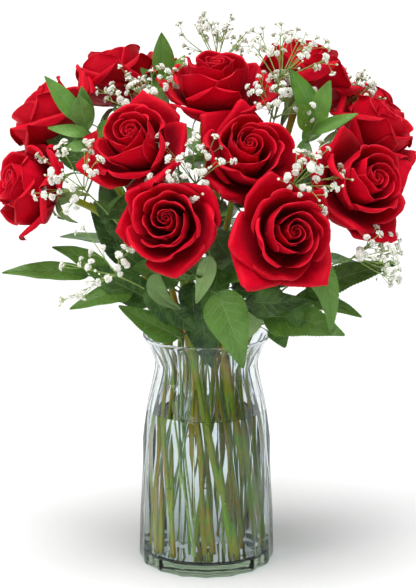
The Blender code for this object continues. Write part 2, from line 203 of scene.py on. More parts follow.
def add_sheet(form, grid, thickness, sheet, mark=0.0, tone=0.5):
    """A thin closed shell on a grid of points: rows run from root to tip, columns from side to side."""
    rows, columns = grid.shape[:2]
    normal = unit(np.cross(np.gradient(grid, axis=1), np.gradient(grid, axis=0)))
    half = normal * np.broadcast_to(np.asarray(thickness) / 2, (rows, columns))[..., None]
    top, bottom = (grid + half).reshape(-1, 3), (grid - half).reshape(-1, 3)
    size = rows * columns
    faces = grid_faces(rows, columns)
    faces += [tuple(size + i for i in reversed(f)) for f in grid_faces(rows, columns)]
    edge = list(range(columns))
    edge += [j * columns + columns - 1 for j in range(1, rows)]
    edge += [(rows - 1) * columns + i for i in range(columns - 2, -1, -1)]
    edge += [j * columns for j in range(rows - 2, 0, -1)]
    for a, b in zip(edge, edge[1:] + edge[:1]):
        faces.append((b, a, size + a, size + b))
    flat = sheet.reshape(-1, 2)
    marks = np.broadcast_to(mark, (rows, columns)).reshape(-1)
    form.add(np.vstack([top, bottom]), faces, np.vstack([flat, flat]), np.tile(marks, 2), tone)


def add_tube(form, line, radii, sides, mark=0.0, tone=0.5, wobble=0.0):
    """A closed tube round a line. wobble is a further share of the radius at each ring and side."""
    line = np.asarray(line, float)
    rows = len(line)
    side, other, forward = frames_along(line)
    turn = np.arange(sides) * 2 * math.pi / sides
    radii = np.broadcast_to(radii, rows)[:, None] * (1 + wobble)
    radii = np.broadcast_to(radii, (rows, sides))
    ring = side[:, None] * np.cos(turn)[None, :, None] + other[:, None] * np.sin(turn)[None, :, None]
    points = line[:, None] + ring * radii[..., None]
    ends = [
        line[0] - forward[0] * radii[0, 0] * TUBE_END,
        line[-1] + forward[-1] * radii[-1, 0] * TUBE_END,
    ]
    points = np.vstack([points.reshape(-1, 3), ends])
    faces = grid_faces(rows, sides, closed=True)
    first, last = rows * sides, rows * sides + 1
    for i in range(sides):
        k = (i + 1) % sides
        faces.append((first, k, i))
        faces.append((last, (rows - 1) * sides + i, (rows - 1) * sides + k))
    v = np.repeat(np.linspace(0, 1, rows), sides)
    sheet = np.stack([np.tile(turn / (2 * math.pi), rows), v], 1)
    sheet = np.vstack([sheet, [[0.5, 0], [0.5, 1]]])
    mark = np.broadcast_to(mark, rows)
    form.add(points, faces, sheet, np.concatenate([np.repeat(mark, sides), [mark[0], mark[-1]]]), tone)


# The CAD frame's shapes


def merged(name):
    """A CAD node's points and triangles, with equal points joined."""
    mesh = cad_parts[name].data
    points = np.array([v.co for v in mesh.vertices], float)
    kept, index = np.unique(np.round(points, 6), axis=0, return_inverse=True)
    index = index.reshape(-1)
    mesh.calc_loop_triangles()
    triangles = np.array([[index[i] for i in t.vertices] for t in mesh.loop_triangles])
    return kept, triangles


def area_centre(points, triangles):
    a, b, c = (points[triangles[:, k]] for k in range(3))
    area = np.linalg.norm(np.cross(b - a, c - a), axis=1)
    return ((a + b + c) / 3 * area[:, None]).sum(0) / area.sum()


def stem_line(name, sides):
    """A stem's centre line, from its foot up: the middles of its tube's rings, as far as they go."""
    points, triangles = merged(name)
    near = {i: set() for i in range(len(points))}
    for a, b, c in triangles:
        near[a] |= {b, c}
        near[b] |= {a, c}
        near[c] |= {a, b}
    ring = set(np.argsort(points[:, 2])[:sides].tolist())
    seen, line = set(ring), []
    while len(ring) == sides:
        line.append(points[sorted(ring)].mean(0))
        ring = {j for i in ring for j in near[i]} - seen
        seen |= ring
    return np.array(line)


def foot_radius(name, foot):
    """The radius of a stem's tube, from the points of its lowest ring."""
    points, _ = merged(name)
    return float(np.linalg.norm(points - foot, axis=1).min())


def bloom_frame(name):
    """(seat, axis, side, width) of a rose's bloom. Its petals turn about the axis from the side."""
    points, triangles = merged(name + "_bloom")
    middle = area_centre(points, triangles)
    axis = unit(middle - area_centre(*merged(name + "_calyx")))
    along = (points - middle) @ axis
    out = np.linalg.norm(points - middle - along[:, None] * axis, axis=1)
    side = unit(np.cross(axis, [0.21, 0.93, 0.31]))
    return middle + axis * along.min(), axis, side, 2 * out.max()


ROSES = [f"rose_{i:02d}" for i in range(1, 13)]
BLOOMS = {name: bloom_frame(name) for name in ROSES}
BLOOM_WIDTH = float(np.median([width for _, _, _, width in BLOOMS.values()]))
# The bloom width that petals and sepals are drawn for, in millimetres.
DRAWN_BLOOM = 82
STEMS = {name: stem_line(name + "_stem", 6) for name in ROSES}


def at(azimuth, reach, rise):
    return (direction(azimuth, 90) * reach + UP * rise) * BLOOM_WIDTH + UP * RIM


# Shader building


def link(tree, kind, sockets=None, **settings):
    """A shader node: sockets are values or links by name or number, settings are its own."""
    made = tree.nodes.new("ShaderNode" + kind)
    for key, value in settings.items():
        setattr(made, key, value)
    for key, value in (sockets or {}).items():
        if isinstance(value, bpy.types.NodeSocket):
            tree.links.new(value, made.inputs[key])
        else:
            made.inputs[key].default_value = value
    return made


def calc(tree, operation, a, b=0.0, c=0.0):
    return link(tree, "Math", {0: a, 1: b, 2: c}, operation=operation).outputs[0]


def fit(tree, value, low, high, to_low=0.0, to_high=1.0):
    sockets = {"Value": value, "From Min": low, "From Max": high, "To Min": to_low, "To Max": to_high}
    return link(tree, "MapRange", sockets, interpolation_type="SMOOTHSTEP").outputs["Result"]


def blend(tree, share, a, b):
    return link(tree, "Mix", {0: share, 6: a, 7: b}, data_type="RGBA").outputs[2]


def tint(tree, colour, new, mask, most):
    """The new colour laid over another where mask is 1, by the share most."""
    return blend(tree, calc(tree, "MULTIPLY", mask, most), colour, new)


def node_group(name, inputs, outputs, kind="ShaderNodeTree"):
    """An empty node group with named sockets. Returns its tree, inputs node and outputs node."""
    tree = bpy.data.node_groups.new(name, kind)
    for key, holds, value in inputs:
        made = tree.interface.new_socket(key, in_out="INPUT", socket_type="NodeSocket" + holds)
        if value is not None:
            made.default_value = value
    for key, holds in outputs:
        tree.interface.new_socket(key, in_out="OUTPUT", socket_type="NodeSocket" + holds)
    return tree, tree.nodes.new("NodeGroupInput"), tree.nodes.new("NodeGroupOutput")


def use(tree, group, **sockets):
    """A group's outputs, with its inputs set by name."""
    named = {key.replace("_", " "): value for key, value in sockets.items()}
    return link(tree, "Group", named, node_tree=group).outputs


def mottle_group():
    """Soft uneven patches, and a fine grain, for living surfaces."""
    inputs = [("Vector", "Vector", None), ("Patch Scale", "Float", 60.0), ("Grain Scale", "Float", 900.0)]
    tree, taken, given = node_group("mottle", inputs, [("Patches", "Float"), ("Grain", "Float")])
    patches = link(tree, "TexNoise", {"Vector": taken.outputs[0], "Scale": taken.outputs[1], "Detail": 3.0})
    grain = link(tree, "TexNoise", {"Vector": taken.outputs[0], "Scale": taken.outputs[2], "Detail": 2.0})
    tree.links.new(fit(tree, patches.outputs[0], 0.34, 0.68), given.inputs[0])
    tree.links.new(fit(tree, grain.outputs[0], 0.3, 0.7), given.inputs[1])
    return tree


def vein_group():
    """A leaf's midrib, its side veins and the net between them, from the leaf's own sheet coordinates."""
    inputs = [
        ("Sheet", "Vector", None),
        ("Pairs", "Float", 8.0),
        ("Slant", "Float", 1.2),
        ("Side Width", "Float", 0.10),
        ("Midrib Width", "Float", 0.05),
    ]
    outputs = [("Midrib", "Float"), ("Veins", "Float"), ("Net", "Float")]
    tree, taken, given = node_group("veins", inputs, outputs)
    split = link(tree, "SeparateXYZ", {0: taken.outputs["Sheet"]})
    out = calc(tree, "ABSOLUTE", calc(tree, "MULTIPLY_ADD", split.outputs[0], 2.0, -1.0))
    tree.links.new(fit(tree, out, taken.outputs["Midrib Width"], 0.0), given.inputs["Midrib"])
    bent = calc(tree, "POWER", out, 0.8)
    shifted = calc(tree, "MULTIPLY", bent, taken.outputs["Slant"])
    run = calc(tree, "SUBTRACT", calc(tree, "MULTIPLY", split.outputs[1], taken.outputs["Pairs"]), shifted)
    off = calc(tree, "ABSOLUTE", calc(tree, "SUBTRACT", calc(tree, "FRACT", run), 0.5))
    side = fit(tree, off, taken.outputs["Side Width"], 0.0)
    fade = fit(tree, out, 1.0, 0.55)
    tree.links.new(calc(tree, "MULTIPLY", side, fade), given.inputs["Veins"])
    wide = link(tree, "Mapping", {0: taken.outputs["Sheet"], 3: (14.0, 30.0, 1.0)})
    net = link(tree, "TexVoronoi", {"Vector": wide.outputs[0], "Scale": 1.0}, feature="DISTANCE_TO_EDGE")
    tree.links.new(fit(tree, net.outputs["Distance"], 0.10, 0.0), given.inputs["Net"])
    return tree


def relief_group():
    """Turns up to three heights, each with its own depth, into one normal."""
    heights = ("Broad", "Middle", "Fine")
    inputs = [(name + end, "Float", 0.0) for name in heights for end in ("", " Depth")]
    tree, taken, given = node_group("relief", inputs, [("Normal", "Vector")])
    total = 0.0
    for name in heights:
        total = calc(tree, "MULTIPLY_ADD", taken.outputs[name], taken.outputs[name + " Depth"], total)
    bump = link(tree, "Bump", {"Height": total, "Distance": 1.0, "Strength": 1.0})
    tree.links.new(bump.outputs[0], given.inputs[0])
    return tree


MOTTLE, VEINS, RELIEF = mottle_group(), vein_group(), relief_group()


def material(name, **settings):
    """A material, its tree and its Principled node, with settings that are the same all over its surface."""
    made = bpy.data.materials.new(name)
    made.use_nodes = True
    tree = made.node_tree
    shader = tree.nodes["Principled BSDF"]
    for key, value in settings.items():
        shader.inputs[key.replace("_", " ")].default_value = value
    return made, tree, shader


def attribute(tree, name):
    return link(tree, "Attribute", attribute_name=name).outputs["Fac"]


def sheet_of(tree):
    return link(tree, "UVMap", uv_map="sheet").outputs[0]


def mottled(tree, patch_scale, grain_scale=900.0):
    point = link(tree, "TexCoord").outputs["Object"]
    return use(tree, MOTTLE, Vector=point, Patch_Scale=patch_scale, Grain_Scale=grain_scale)


def streaked(tree, sheet, across, along, detail, low, high):
    """Streaks that run up a sheet: how many lie across it and how many follow each other along it."""
    drawn = link(tree, "Mapping", {0: sheet, 3: (across, along, 1.0)})
    noise = link(tree, "TexNoise", {"Vector": drawn.outputs[0], "Scale": 1.0, "Detail": detail})
    return fit(tree, noise.outputs[0], low, high)


def cover(tree, shader, colour, rough, **heights):
    """Links a colour, a roughness and a relief, whose heights and depths are given by name, to a shader."""
    tree.links.new(colour, shader.inputs["Base Color"])
    tree.links.new(rough, shader.inputs["Roughness"])
    tree.links.new(use(tree, RELIEF, **heights)[0], shader.inputs["Normal"])


def petal_material():
    """Velvety red: brighter streaks up each petal, a painted highlight on the lip where mark is 1, and
    painted shade towards the root, deep in the bloom.
    """
    made, tree, shader = material(
        "rose_petal", Sheen_Weight=0.16, Sheen_Roughness=0.5, Sheen_Tint=(1.0, 0.06, 0.12, 1),
        Subsurface_Weight=0.08, Subsurface_Radius=(1.0, 0.08, 0.06), Subsurface_Scale=0.002,
        Specular_IOR_Level=0.09,
    )
    sheet = sheet_of(tree)
    mottle = mottled(tree, 95.0, 2600.0)
    streak = streaked(tree, sheet, 46.0, 2.2, 4.0, 0.35, 0.65)
    colour = blend(tree, attribute(tree, "tone"), (0.50, 0.0002, 0.010, 1), (0.67, 0.0004, 0.017, 1))
    colour = tint(tree, colour, (0.38, 0.0002, 0.010, 1), mottle["Patches"], 0.45)
    colour = tint(tree, colour, (0.72, 0.0006, 0.022, 1), streak, 0.22)
    # Painted shade: the colour darkens towards each petal's root, where the recesses of the bloom lie in
    # shade.
    up = calc(tree, "FRACT", link(tree, "SeparateXYZ", {0: sheet}).outputs[1])
    colour = blend(tree, fit(tree, up, 0.85, 0.35, 0.0, 0.75), colour, (0.19, 0.0001, 0.004, 1))
    # Painted highlight: a paler, pinker lip where mark is 1, where the rolled edges catch the light.
    colour = tint(tree, colour, (0.82, 0.035, 0.065, 1), attribute(tree, "mark"), 0.34)
    cover(
        tree, shader, colour, fit(tree, mottle["Grain"], 0.0, 1.0, 0.46, 0.62),
        Broad=mottle["Patches"], Broad_Depth=0.00025, Middle=streak, Middle_Depth=0.00006,
        Fine=mottle["Grain"], Fine_Depth=0.00002,
    )
    return made


def leaf_material(name, dark, light, pale, pairs, slant, side_width, roughness, depth):
    """A leaf: dark and light greens, pale veins, and a duller underside where mark is 1."""
    made, tree, shader = material(
        name, Specular_IOR_Level=0.45, Subsurface_Weight=0.04, Subsurface_Radius=(0.4, 1.0, 0.2),
        Subsurface_Scale=0.001,
    )
    mottle = mottled(tree, 85.0, 1500.0)
    veins = use(
        tree, VEINS, Sheet=sheet_of(tree), Pairs=pairs, Slant=slant, Side_Width=side_width,
        Midrib_Width=0.045,
    )
    colour = blend(tree, attribute(tree, "tone"), dark, light)
    colour = tint(tree, colour, light, mottle["Patches"], 0.40)
    colour = tint(tree, colour, pale, attribute(tree, "mark"), 0.80)
    lines = calc(tree, "MAXIMUM", veins["Midrib"], calc(tree, "MULTIPLY", veins["Veins"], 0.40))
    colour = tint(tree, colour, pale, lines, 0.62)
    cover(
        tree, shader, colour, fit(tree, mottle["Patches"], 0.0, 1.0, roughness - 0.05, roughness + 0.08),
        Broad=lines, Broad_Depth=-depth, Middle=veins["Net"], Middle_Depth=-depth * 0.35,
        Fine=mottle["Grain"], Fine_Depth=depth * 0.12,
    )
    return made


def stem_material(name, fresh, old, bark, roughness):
    """A stem: fresh green with older olive and brown patches that run along it, paler where mark is 1."""
    made, tree, shader = material(name, Specular_IOR_Level=0.4)
    mottle = mottled(tree, 42.0, 1400.0)
    streak = streaked(tree, sheet_of(tree), 26.0, 3.0, 3.0, 0.4, 0.62)
    colour = blend(tree, mottle["Patches"], fresh, old)
    colour = tint(tree, colour, bark, calc(tree, "MULTIPLY", streak, attribute(tree, "tone")), 0.7)
    colour = blend(tree, attribute(tree, "mark"), colour, (0.30, 0.42, 0.14, 1))
    cover(
        tree, shader, colour, fit(tree, mottle["Patches"], 0, 1, roughness, roughness + 0.12),
        Broad=mottle["Patches"], Broad_Depth=0.00012, Middle=streak, Middle_Depth=0.00010,
        Fine=mottle["Grain"], Fine_Depth=0.00003,
    )
    return made


def breath_material():
    """Baby's breath: papery white florets, and green stalks and calyxes where mark is 1."""
    made, tree, shader = material(
        "babys_breath", Roughness=0.62, Specular_IOR_Level=0.25, Subsurface_Weight=0.10,
        Subsurface_Radius=(0.9, 1.0, 0.8), Subsurface_Scale=0.0008,
    )
    mottle = mottled(tree, 300.0, 2500.0)
    white = blend(tree, attribute(tree, "tone"), (0.80, 0.80, 0.70, 1), (0.93, 0.93, 0.90, 1))
    white = tint(tree, white, (0.70, 0.74, 0.56, 1), mottle["Patches"], 0.18)
    stalk = blend(tree, mottle["Patches"], (0.20, 0.33, 0.07, 1), (0.34, 0.44, 0.14, 1))
    tree.links.new(blend(tree, attribute(tree, "mark"), white, stalk), shader.inputs["Base Color"])
    relief = use(tree, RELIEF, Fine=mottle["Grain"], Fine_Depth=0.00004)
    tree.links.new(relief[0], shader.inputs["Normal"])
    return made


def clear_material(name, colour, ior, deep, density, wave_scale, wave_depth):
    """A clear solid that lets lamp light through to what stands in it, with a faint wave in its surface.
    Its thick parts take on the colour deep, and a grey specular tint keeps its mirrored light thin."""
    made, tree, shader = material(
        name, Base_Color=colour, Roughness=0.0, IOR=ior, Metallic=0.0, Transmission_Weight=1.0,
        Specular_Tint=(0.45, 0.45, 0.45, 1),
    )
    mottle = mottled(tree, wave_scale)
    relief = use(tree, RELIEF, Broad=mottle["Patches"], Broad_Depth=wave_depth)
    tree.links.new(relief[0], shader.inputs["Normal"])
    through = link(tree, "BsdfTransparent", {0: tuple(c**0.5 for c in colour[:3]) + (1,)})
    shadow = link(tree, "LightPath").outputs["Is Shadow Ray"]
    mixed = link(tree, "MixShader", {0: shadow, 1: shader.outputs[0], 2: through.outputs[0]})
    output = tree.nodes["Material Output"]
    tree.links.new(mixed.outputs[0], output.inputs["Surface"])
    inside = link(tree, "VolumeAbsorption", {"Color": deep, "Density": density})
    tree.links.new(inside.outputs[0], output.inputs["Volume"])
    return made


PETAL = petal_material()
ROSE_LEAF = leaf_material(
    "rose_leaf", (0.014, 0.055, 0.012, 1), (0.115, 0.270, 0.030, 1), (0.27, 0.40, 0.16, 1),
    8.0, 1.5, 0.12, 0.28, 0.00045,
)
RUSCUS_LEAF = leaf_material(
    "ruscus_leaf", (0.030, 0.120, 0.010, 1), (0.135, 0.320, 0.022, 1), (0.20, 0.36, 0.12, 1),
    2.0, 3.5, 0.14, 0.26, 0.00012,
)
ROSE_STEM = stem_material(
    "rose_stem", (0.13, 0.36, 0.008, 1), (0.28, 0.25, 0.006, 1), (0.40, 0.115, 0.006, 1), 0.34
)
SEPAL = stem_material("rose_sepal", (0.15, 0.27, 0.07, 1), (0.24, 0.36, 0.11, 1), (0.20, 0.24, 0.08, 1), 0.46)
BREATH = breath_material()
GLASS = clear_material(
    "vase_glass", (0.79, 0.835, 0.865, 1), 1.46, (0.56, 0.70, 0.46, 1), 16.0, 30.0, 0.00004
)
WATER = clear_material("water", (0.98, 0.99, 0.98, 1), 1.33, (0.72, 0.86, 0.74, 1), 2.0, 40.0, 0.0)


# Copies on points, by Geometry Nodes


def copies_tree():
    """A node tree that stands a copy on each point along its aim, spun at random, and joins them."""
    inputs = [("Geometry", "Geometry", None), ("Copy", "Object", None), ("Seed", "Int", None)]
    inputs += [("Smallest", "Float", None), ("Largest", "Float", None), ("Finish", "Material", None)]
    tree, taken, given = node_group(
        "copies on points", inputs, [("Geometry", "Geometry")], "GeometryNodeTree"
    )

    def new(kind, **settings):
        made = tree.nodes.new(kind)
        for key, value in settings.items():
            setattr(made, key, value)
        return made

    def join(a, b):
        tree.links.new(a, b)

    aim = new("GeometryNodeInputNamedAttribute", data_type="FLOAT_VECTOR")
    aim.inputs["Name"].default_value = "aim"
    upright = new("FunctionNodeAlignEulerToVector", axis="Z")
    join(aim.outputs["Attribute"], upright.inputs["Vector"])
    spin = new("FunctionNodeRandomValue", data_type="FLOAT")
    size = new("FunctionNodeRandomValue", data_type="FLOAT")
    join(taken.outputs["Seed"], spin.inputs["Seed"])
    join(taken.outputs["Seed"], size.inputs["Seed"])
    float_in = {s.name: s for s in size.inputs if s.enabled}
    join(taken.outputs["Smallest"], float_in["Min"])
    join(taken.outputs["Largest"], float_in["Max"])
    next(s for s in spin.inputs if s.enabled and s.name == "Max").default_value = 2 * math.pi
    turn = new("ShaderNodeCombineXYZ")
    join(next(s for s in spin.outputs if s.enabled), turn.inputs["Z"])
    copy = new("GeometryNodeObjectInfo")
    join(taken.outputs["Copy"], copy.inputs["Object"])
    place = new("GeometryNodeInstanceOnPoints")
    join(taken.outputs["Geometry"], place.inputs["Points"])
    join(copy.outputs["Geometry"], place.inputs["Instance"])
    join(upright.outputs[0], place.inputs["Rotation"])
    join(next(s for s in size.outputs if s.enabled), place.inputs["Scale"])
    spun = new("GeometryNodeRotateInstances")
    join(place.outputs[0], spun.inputs["Instances"])
    join(turn.outputs[0], spun.inputs["Rotation"])
    real = new("GeometryNodeRealizeInstances")
    join(spun.outputs[0], real.inputs[0])
    finish = new("GeometryNodeSetMaterial")
    join(real.outputs[0], finish.inputs["Geometry"])
    join(taken.outputs["Finish"], finish.inputs["Material"])
    join(finish.outputs[0], given.inputs[0])
    return tree


COPIES = copies_tree()


def copies(points, aims, copy, seed, smallest, largest, finish):
    """A mesh of copies of an object that stand on points, each along its aim."""
    mesh = bpy.data.meshes.new("points")
    mesh.from_pydata(np.asarray(points).tolist(), [], [])
    aim = mesh.attributes.new("aim", "FLOAT_VECTOR", "POINT")
    aim.data.foreach_set("vector", np.asarray(aims, np.float32).ravel())
    holder = bpy.data.objects.new("points", mesh)
    bpy.context.scene.collection.objects.link(holder)
    change = holder.modifiers.new("copies", "NODES")
    change.node_group = COPIES
    values = {"Copy": copy, "Seed": seed, "Smallest": smallest, "Largest": largest, "Finish": finish}
    for item in COPIES.interface.items_tree:
        if item.in_out == "INPUT" and item.name in values:
            change[item.identifier] = values[item.name]
    graph = bpy.context.evaluated_depsgraph_get()
    made = bpy.data.meshes.new_from_object(holder.evaluated_get(graph))
    holder.modifiers.clear()
    bpy.data.objects.remove(holder)
    return made


def pattern_object(name, form):
    """A shape for copies, which isn't shown itself."""
    made = bpy.data.objects.new(name, form.mesh(name))
    bpy.context.scene.collection.objects.link(made)
    return made


# The blooms

# How a bloom's petals change from its heart to its outermost ring, at these places in their order.
# reach and top are how far out and how high the lip stands, belly and waist shape the cup below it,
# and half is half the petal's width, in millimetres. Beyond two lines that slope by fold, in degrees,
# the sides roll back: the lines meet at about rolled below the tip, and roll is the roll's radius.
# drop is how much the shoulders fall short of the tip, flat how many times the cup's radius the petal
# is bent to, skew how far it is turned out of the cup, in degrees, and ripple how deep its waves are.
ORDER = [0, 8, 16, 22, 23, 27]
PETAL_SHAPE = {
    "reach": [1.2, 6.4, 18.0, 29.0, 36.5, 41.3],
    "top": [40.0, 44.0, 44.5, 38.5, 33.5, 28.0],
    "belly": [1.8, 7.0, 18.5, 27.0, 30.0, 32.0],
    "waist": [1.3, 7.2, 19.0, 26.0, 26.5, 28.0],
    "half": [5.0, 10.5, 19.5, 24.0, 26.0, 27.0],
    "fold": [4, 9, 18, 32, 43, 45],
    "rolled": [0.2, 0.5, 0.9, 1.6, 1.9, 2.0],
    "roll": [0.7, 1.0, 1.3, 1.7, 2.1, 2.3],
    "drop": [0.03, 0.06, 0.11, 0.17, 0.21, 0.22],
    "flat": [1.0, 1.0, 1.10, 1.35, 1.80, 2.1],
    "skew": [16, 13, 10, 8, 6, 5],
    "ripple": [0.18, 0.50, 0.90, 1.10, 1.15, 1.20],
}
PETALS = ORDER[-1] + 1
# How far a bloom's heart stands off its axis, and a petal's thickness below and at its lip, in
# millimetres.
HEART_SHIFT = 3.0
PETAL_THICKNESS = (0.40, 0.18)


def petal(order, rng, turn_by, open_up, spread):
    """One petal's grid in the bloom's own frame, in millimetres, from its order in the bloom.

    The petal is a broad sheet bent round a cup. Beyond two fold lines that meet at its tip it rolls
    outwards, so that an outer petal ends in a point between its rolled shoulders."""
    shape = {key: float(np.interp(order, ORDER, values)) for key, values in PETAL_SHAPE.items()}
    loose = smooth_step(4, 20, order)
    outer = smooth_step(17, 25, order)
    wider = 1 + open_up * 0.16 * (1 - outer) + spread * outer
    reach = shape["reach"] * wider + rng.uniform(-1.4, 1.1) * loose
    top = (shape["top"] + rng.uniform(-2.4, 1.2) * (0.3 + loose)) * (1 - 0.5 * spread * outer)
    profile = bezier(
        np.array([1.0 + 6.5 * order / ORDER[-1], 1.5]),
        np.array([shape["belly"], 3.5]),
        np.array([shape["waist"] * (1 + open_up * 0.06), top * 0.62]),
        np.array([reach, top]),
        60,
    )
    run = np.concatenate([[0], np.cumsum(np.linalg.norm(np.diff(profile, axis=0), axis=1))])
    length = run[-1]
    half = shape["half"] * rng.uniform(0.92, 1.08)
    folds = np.radians(shape["fold"]) * rng.uniform(0.70, 1.18, 2)
    rolled = shape["rolled"] * rng.uniform(0.6, 1.3)
    roll = shape["roll"] * rng.uniform(0.85, 1.2)
    flat = shape["flat"]
    skew = math.radians(shape["skew"]) * rng.uniform(0.4, 1.5)
    waves = rng.uniform(0, 2 * math.pi, 4)
    ripple = shape["ripple"]

    u = np.linspace(-1, 1, 17)[None, :]
    v = np.concatenate([np.linspace(0, 0.68, 8), np.linspace(0.74, 1, 11)])[:, None]
    width = half * (0.26 + 0.74 * smooth_step(-0.05, 0.62, v)) * (1 - 0.12 * smooth_step(0.8, 1, v))
    top_edge = length * (1 - shape["drop"] * np.abs(u) ** 2.4)
    a = u * width
    b = v * top_edge
    a = a + 0.6 * ripple * np.sin(b * 0.16 + waves[0]) * v

    def surface(a, b):
        radius = np.interp(b, run, profile[:, 0])
        height = np.interp(b, run, profile[:, 1])
        bend = radius * flat + 0.6
        turn = 2.5 * np.tanh(a / bend / 2.5)
        x, y = turned_flat(bend * np.cos(turn) - bend, bend * np.sin(turn), skew)
        free = smooth_step(0.30, 1.0, b / length)
        lift = np.sin(a * 0.15 + waves[1]) * 0.9 + np.sin(a * 0.33 - b * 0.11 + waves[2]) * 0.45
        crease = np.exp(-((a - 4 * math.sin(waves[3])) ** 2) / 9)
        lift = ripple * free * (lift - 0.8 * crease)
        return np.stack([radius + x + lift, y, height + 0.25 * lift], -1)

    soft = lerp(2.0, 0.7, smooth_step(6, 20, order))
    side = a / np.sqrt(a * a + soft * soft)
    fold = lerp(folds[0], folds[1], (1 + side) / 2)
    past = (b - length) * np.cos(fold) + (side * a) * np.sin(fold) + rolled
    past = np.maximum(past, 0)
    lean_a = np.sin(fold) * side
    lean_b = np.cos(fold)
    fold_a, fold_b = a - lean_a * past, b - lean_b * past
    step = 0.05
    along_a = unit(surface(fold_a + step, fold_b) - surface(fold_a - step, fold_b))
    along_b = unit(surface(fold_a, fold_b + step) - surface(fold_a, fold_b - step))
    outwards = unit(np.cross(along_a, along_b))
    ahead = unit(along_a * lean_a[..., None] + along_b * lean_b[..., None])
    angle = np.minimum(past / roll, 2.6)
    left = past - angle * roll
    grid = surface(fold_a, fold_b) + ahead * (roll * np.sin(angle) + left * np.cos(angle))[..., None]
    grid = grid + outwards * (roll * (1 - np.cos(angle)) + left * np.sin(angle))[..., None]
    grid = np.stack([*turned_flat(grid[..., 0], grid[..., 1], turn_by), grid[..., 2]], -1)
    # The lip and upper sides, which become the mark where the petal material paints a highlight.
    sides = smooth_step(0.96, 1.0, np.abs(u)) * smooth_step(0.5, 0.9, v)
    edge = np.maximum(smooth_step(0.965, 1.0, v), sides)
    return grid, sheet_over(u, v * 0.98), edge


def make_bloom(name, seed, open_up, spread):
    """The petals of a rose, each a golden turn on from the last. open_up opens the heart towards one
    side, and spread lays the outer petals further out."""
    seat, axis, side, width = BLOOMS[name]
    rng = np.random.default_rng(seed)
    other = np.cross(axis, side)
    form = Form()
    start = rng.uniform(0, 2 * math.pi)
    drift = rng.uniform(0, 2 * math.pi)
    for i in range(PETALS):
        loose = smooth_step(6, 18, i) * (1 - smooth_step(22, 24, i))
        turn_by = start + i * GOLDEN_TURN + rng.uniform(-0.34, 0.34)
        opened = open_up + 0.5 * loose * math.cos(turn_by - drift)
        grid, sheet, lip = petal(i, rng, turn_by, opened, spread)
        shift = HEART_SHIFT * (1 - smooth_step(4, 22, i))
        grid = grid + np.array([math.cos(drift) * shift, math.sin(drift) * shift, 0])
        grid = grid * width / DRAWN_BLOOM * (1 + 0.3 * spread)
        placed = seat + grid[..., :1] * side + grid[..., 1:2] * other + grid[..., 2:3] * axis
        thick = lerp(*PETAL_THICKNESS, smooth_step(0.6, 1.0, sheet[..., 1])) * MM
        add_sheet(form, placed, thick, sheet + rng.integers(0, 20), lip, rng.uniform(0, 1))
    show(name + "_petals", form.mesh(name + "_petals"), PETAL, name + "_bloom")


# Sepals, stems and thorns


def pointed(line, widths, face, fold, columns, curl=0.0):
    """A blade's grid along a line, which faces a way, is folded up along its middle and curls down at its
    edges. Also gives the directions across and up at each row."""
    forward = unit(np.gradient(line, axis=0))
    across = unit(np.cross(forward, np.broadcast_to(face, line.shape)))
    up = np.cross(across, forward)
    u = np.linspace(-1, 1, columns)[None, :]
    half = (np.asarray(widths) / 2)[:, None]
    grid = line[:, None] + across[:, None] * (u * half * math.cos(fold))[..., None]
    rise = np.sqrt(u * u + 0.02) * half * math.sin(fold) - curl * half * u**4
    return grid + up[:, None] * rise[..., None], across, up


SEPALS = 5
SEPAL_THICKNESS = 0.6


def make_calyx(name, seed):
    """The hip under a bloom, its five sepals and the swollen top of the stem."""
    seat, axis, side, width = BLOOMS[name]
    rng = np.random.default_rng(seed)
    scale = width / DRAWN_BLOOM
    form = Form()
    heights = np.array([-13.2, -11.5, -9.0, -6.0, -3.0, -0.8, 0.6, 1.4])
    radii = np.array([3.3, 4.3, 6.2, 7.6, 7.9, 7.4, 8.2, 6.0]) * scale
    add_tube(form, seat + axis * (heights * scale)[:, None], radii, 20, tone=0.3)
    for i in range(SEPALS):
        out = turned(side, axis, 2 * math.pi * (i + rng.uniform(-0.1, 0.1)) / SEPALS)
        length = rng.uniform(0.85, 1.15)
        bend = rng.uniform(-0.2, 0.25)
        knots = [(6.4, -2.5), (11.0, -3.2), (16.5, -6.0 - 3 * bend), (21.0, -12.0), (22.5 + 2 * bend, -19.0)]
        line = np.array([seat + (out * x * length + axis * z * length) * scale for x, z in knots])
        rows, columns = 14, 7
        line = smooth_line(line, rows)
        run = np.linspace(0, 1, rows)
        widths = 7.6 * scale * (0.75 + 0.35 * np.sin(math.pi * run**0.8)) * (1 - run**2.2) + 0.5 * scale
        grid, _, _ = pointed(line, widths, out + axis * 0.6, 0.25, columns)
        sheet = sheet_over(np.linspace(-1, 1, columns), run[:, None])
        add_sheet(form, grid, SEPAL_THICKNESS * scale, sheet, 0.15, rng.uniform(0.1, 0.5))
    show(name + "_sepals", form.mesh(name + "_sepals"), SEPAL, name + "_calyx")


def thorn_pattern():
    """A small broad-based thorn that hooks down, along +Z."""
    form = Form()
    line = np.array([[0, 0, -0.4], [0, 0, 0.4], [0.2, 0, 1.6], [0.7, 0, 2.7], [1.5, 0, 3.6]]) * MM
    add_tube(form, line, np.array([1.6, 1.35, 0.8, 0.42, 0.1]) * MM, 6, mark=0.1, tone=1.0)
    return pattern_object("thorn", form)


THORN = thorn_pattern()


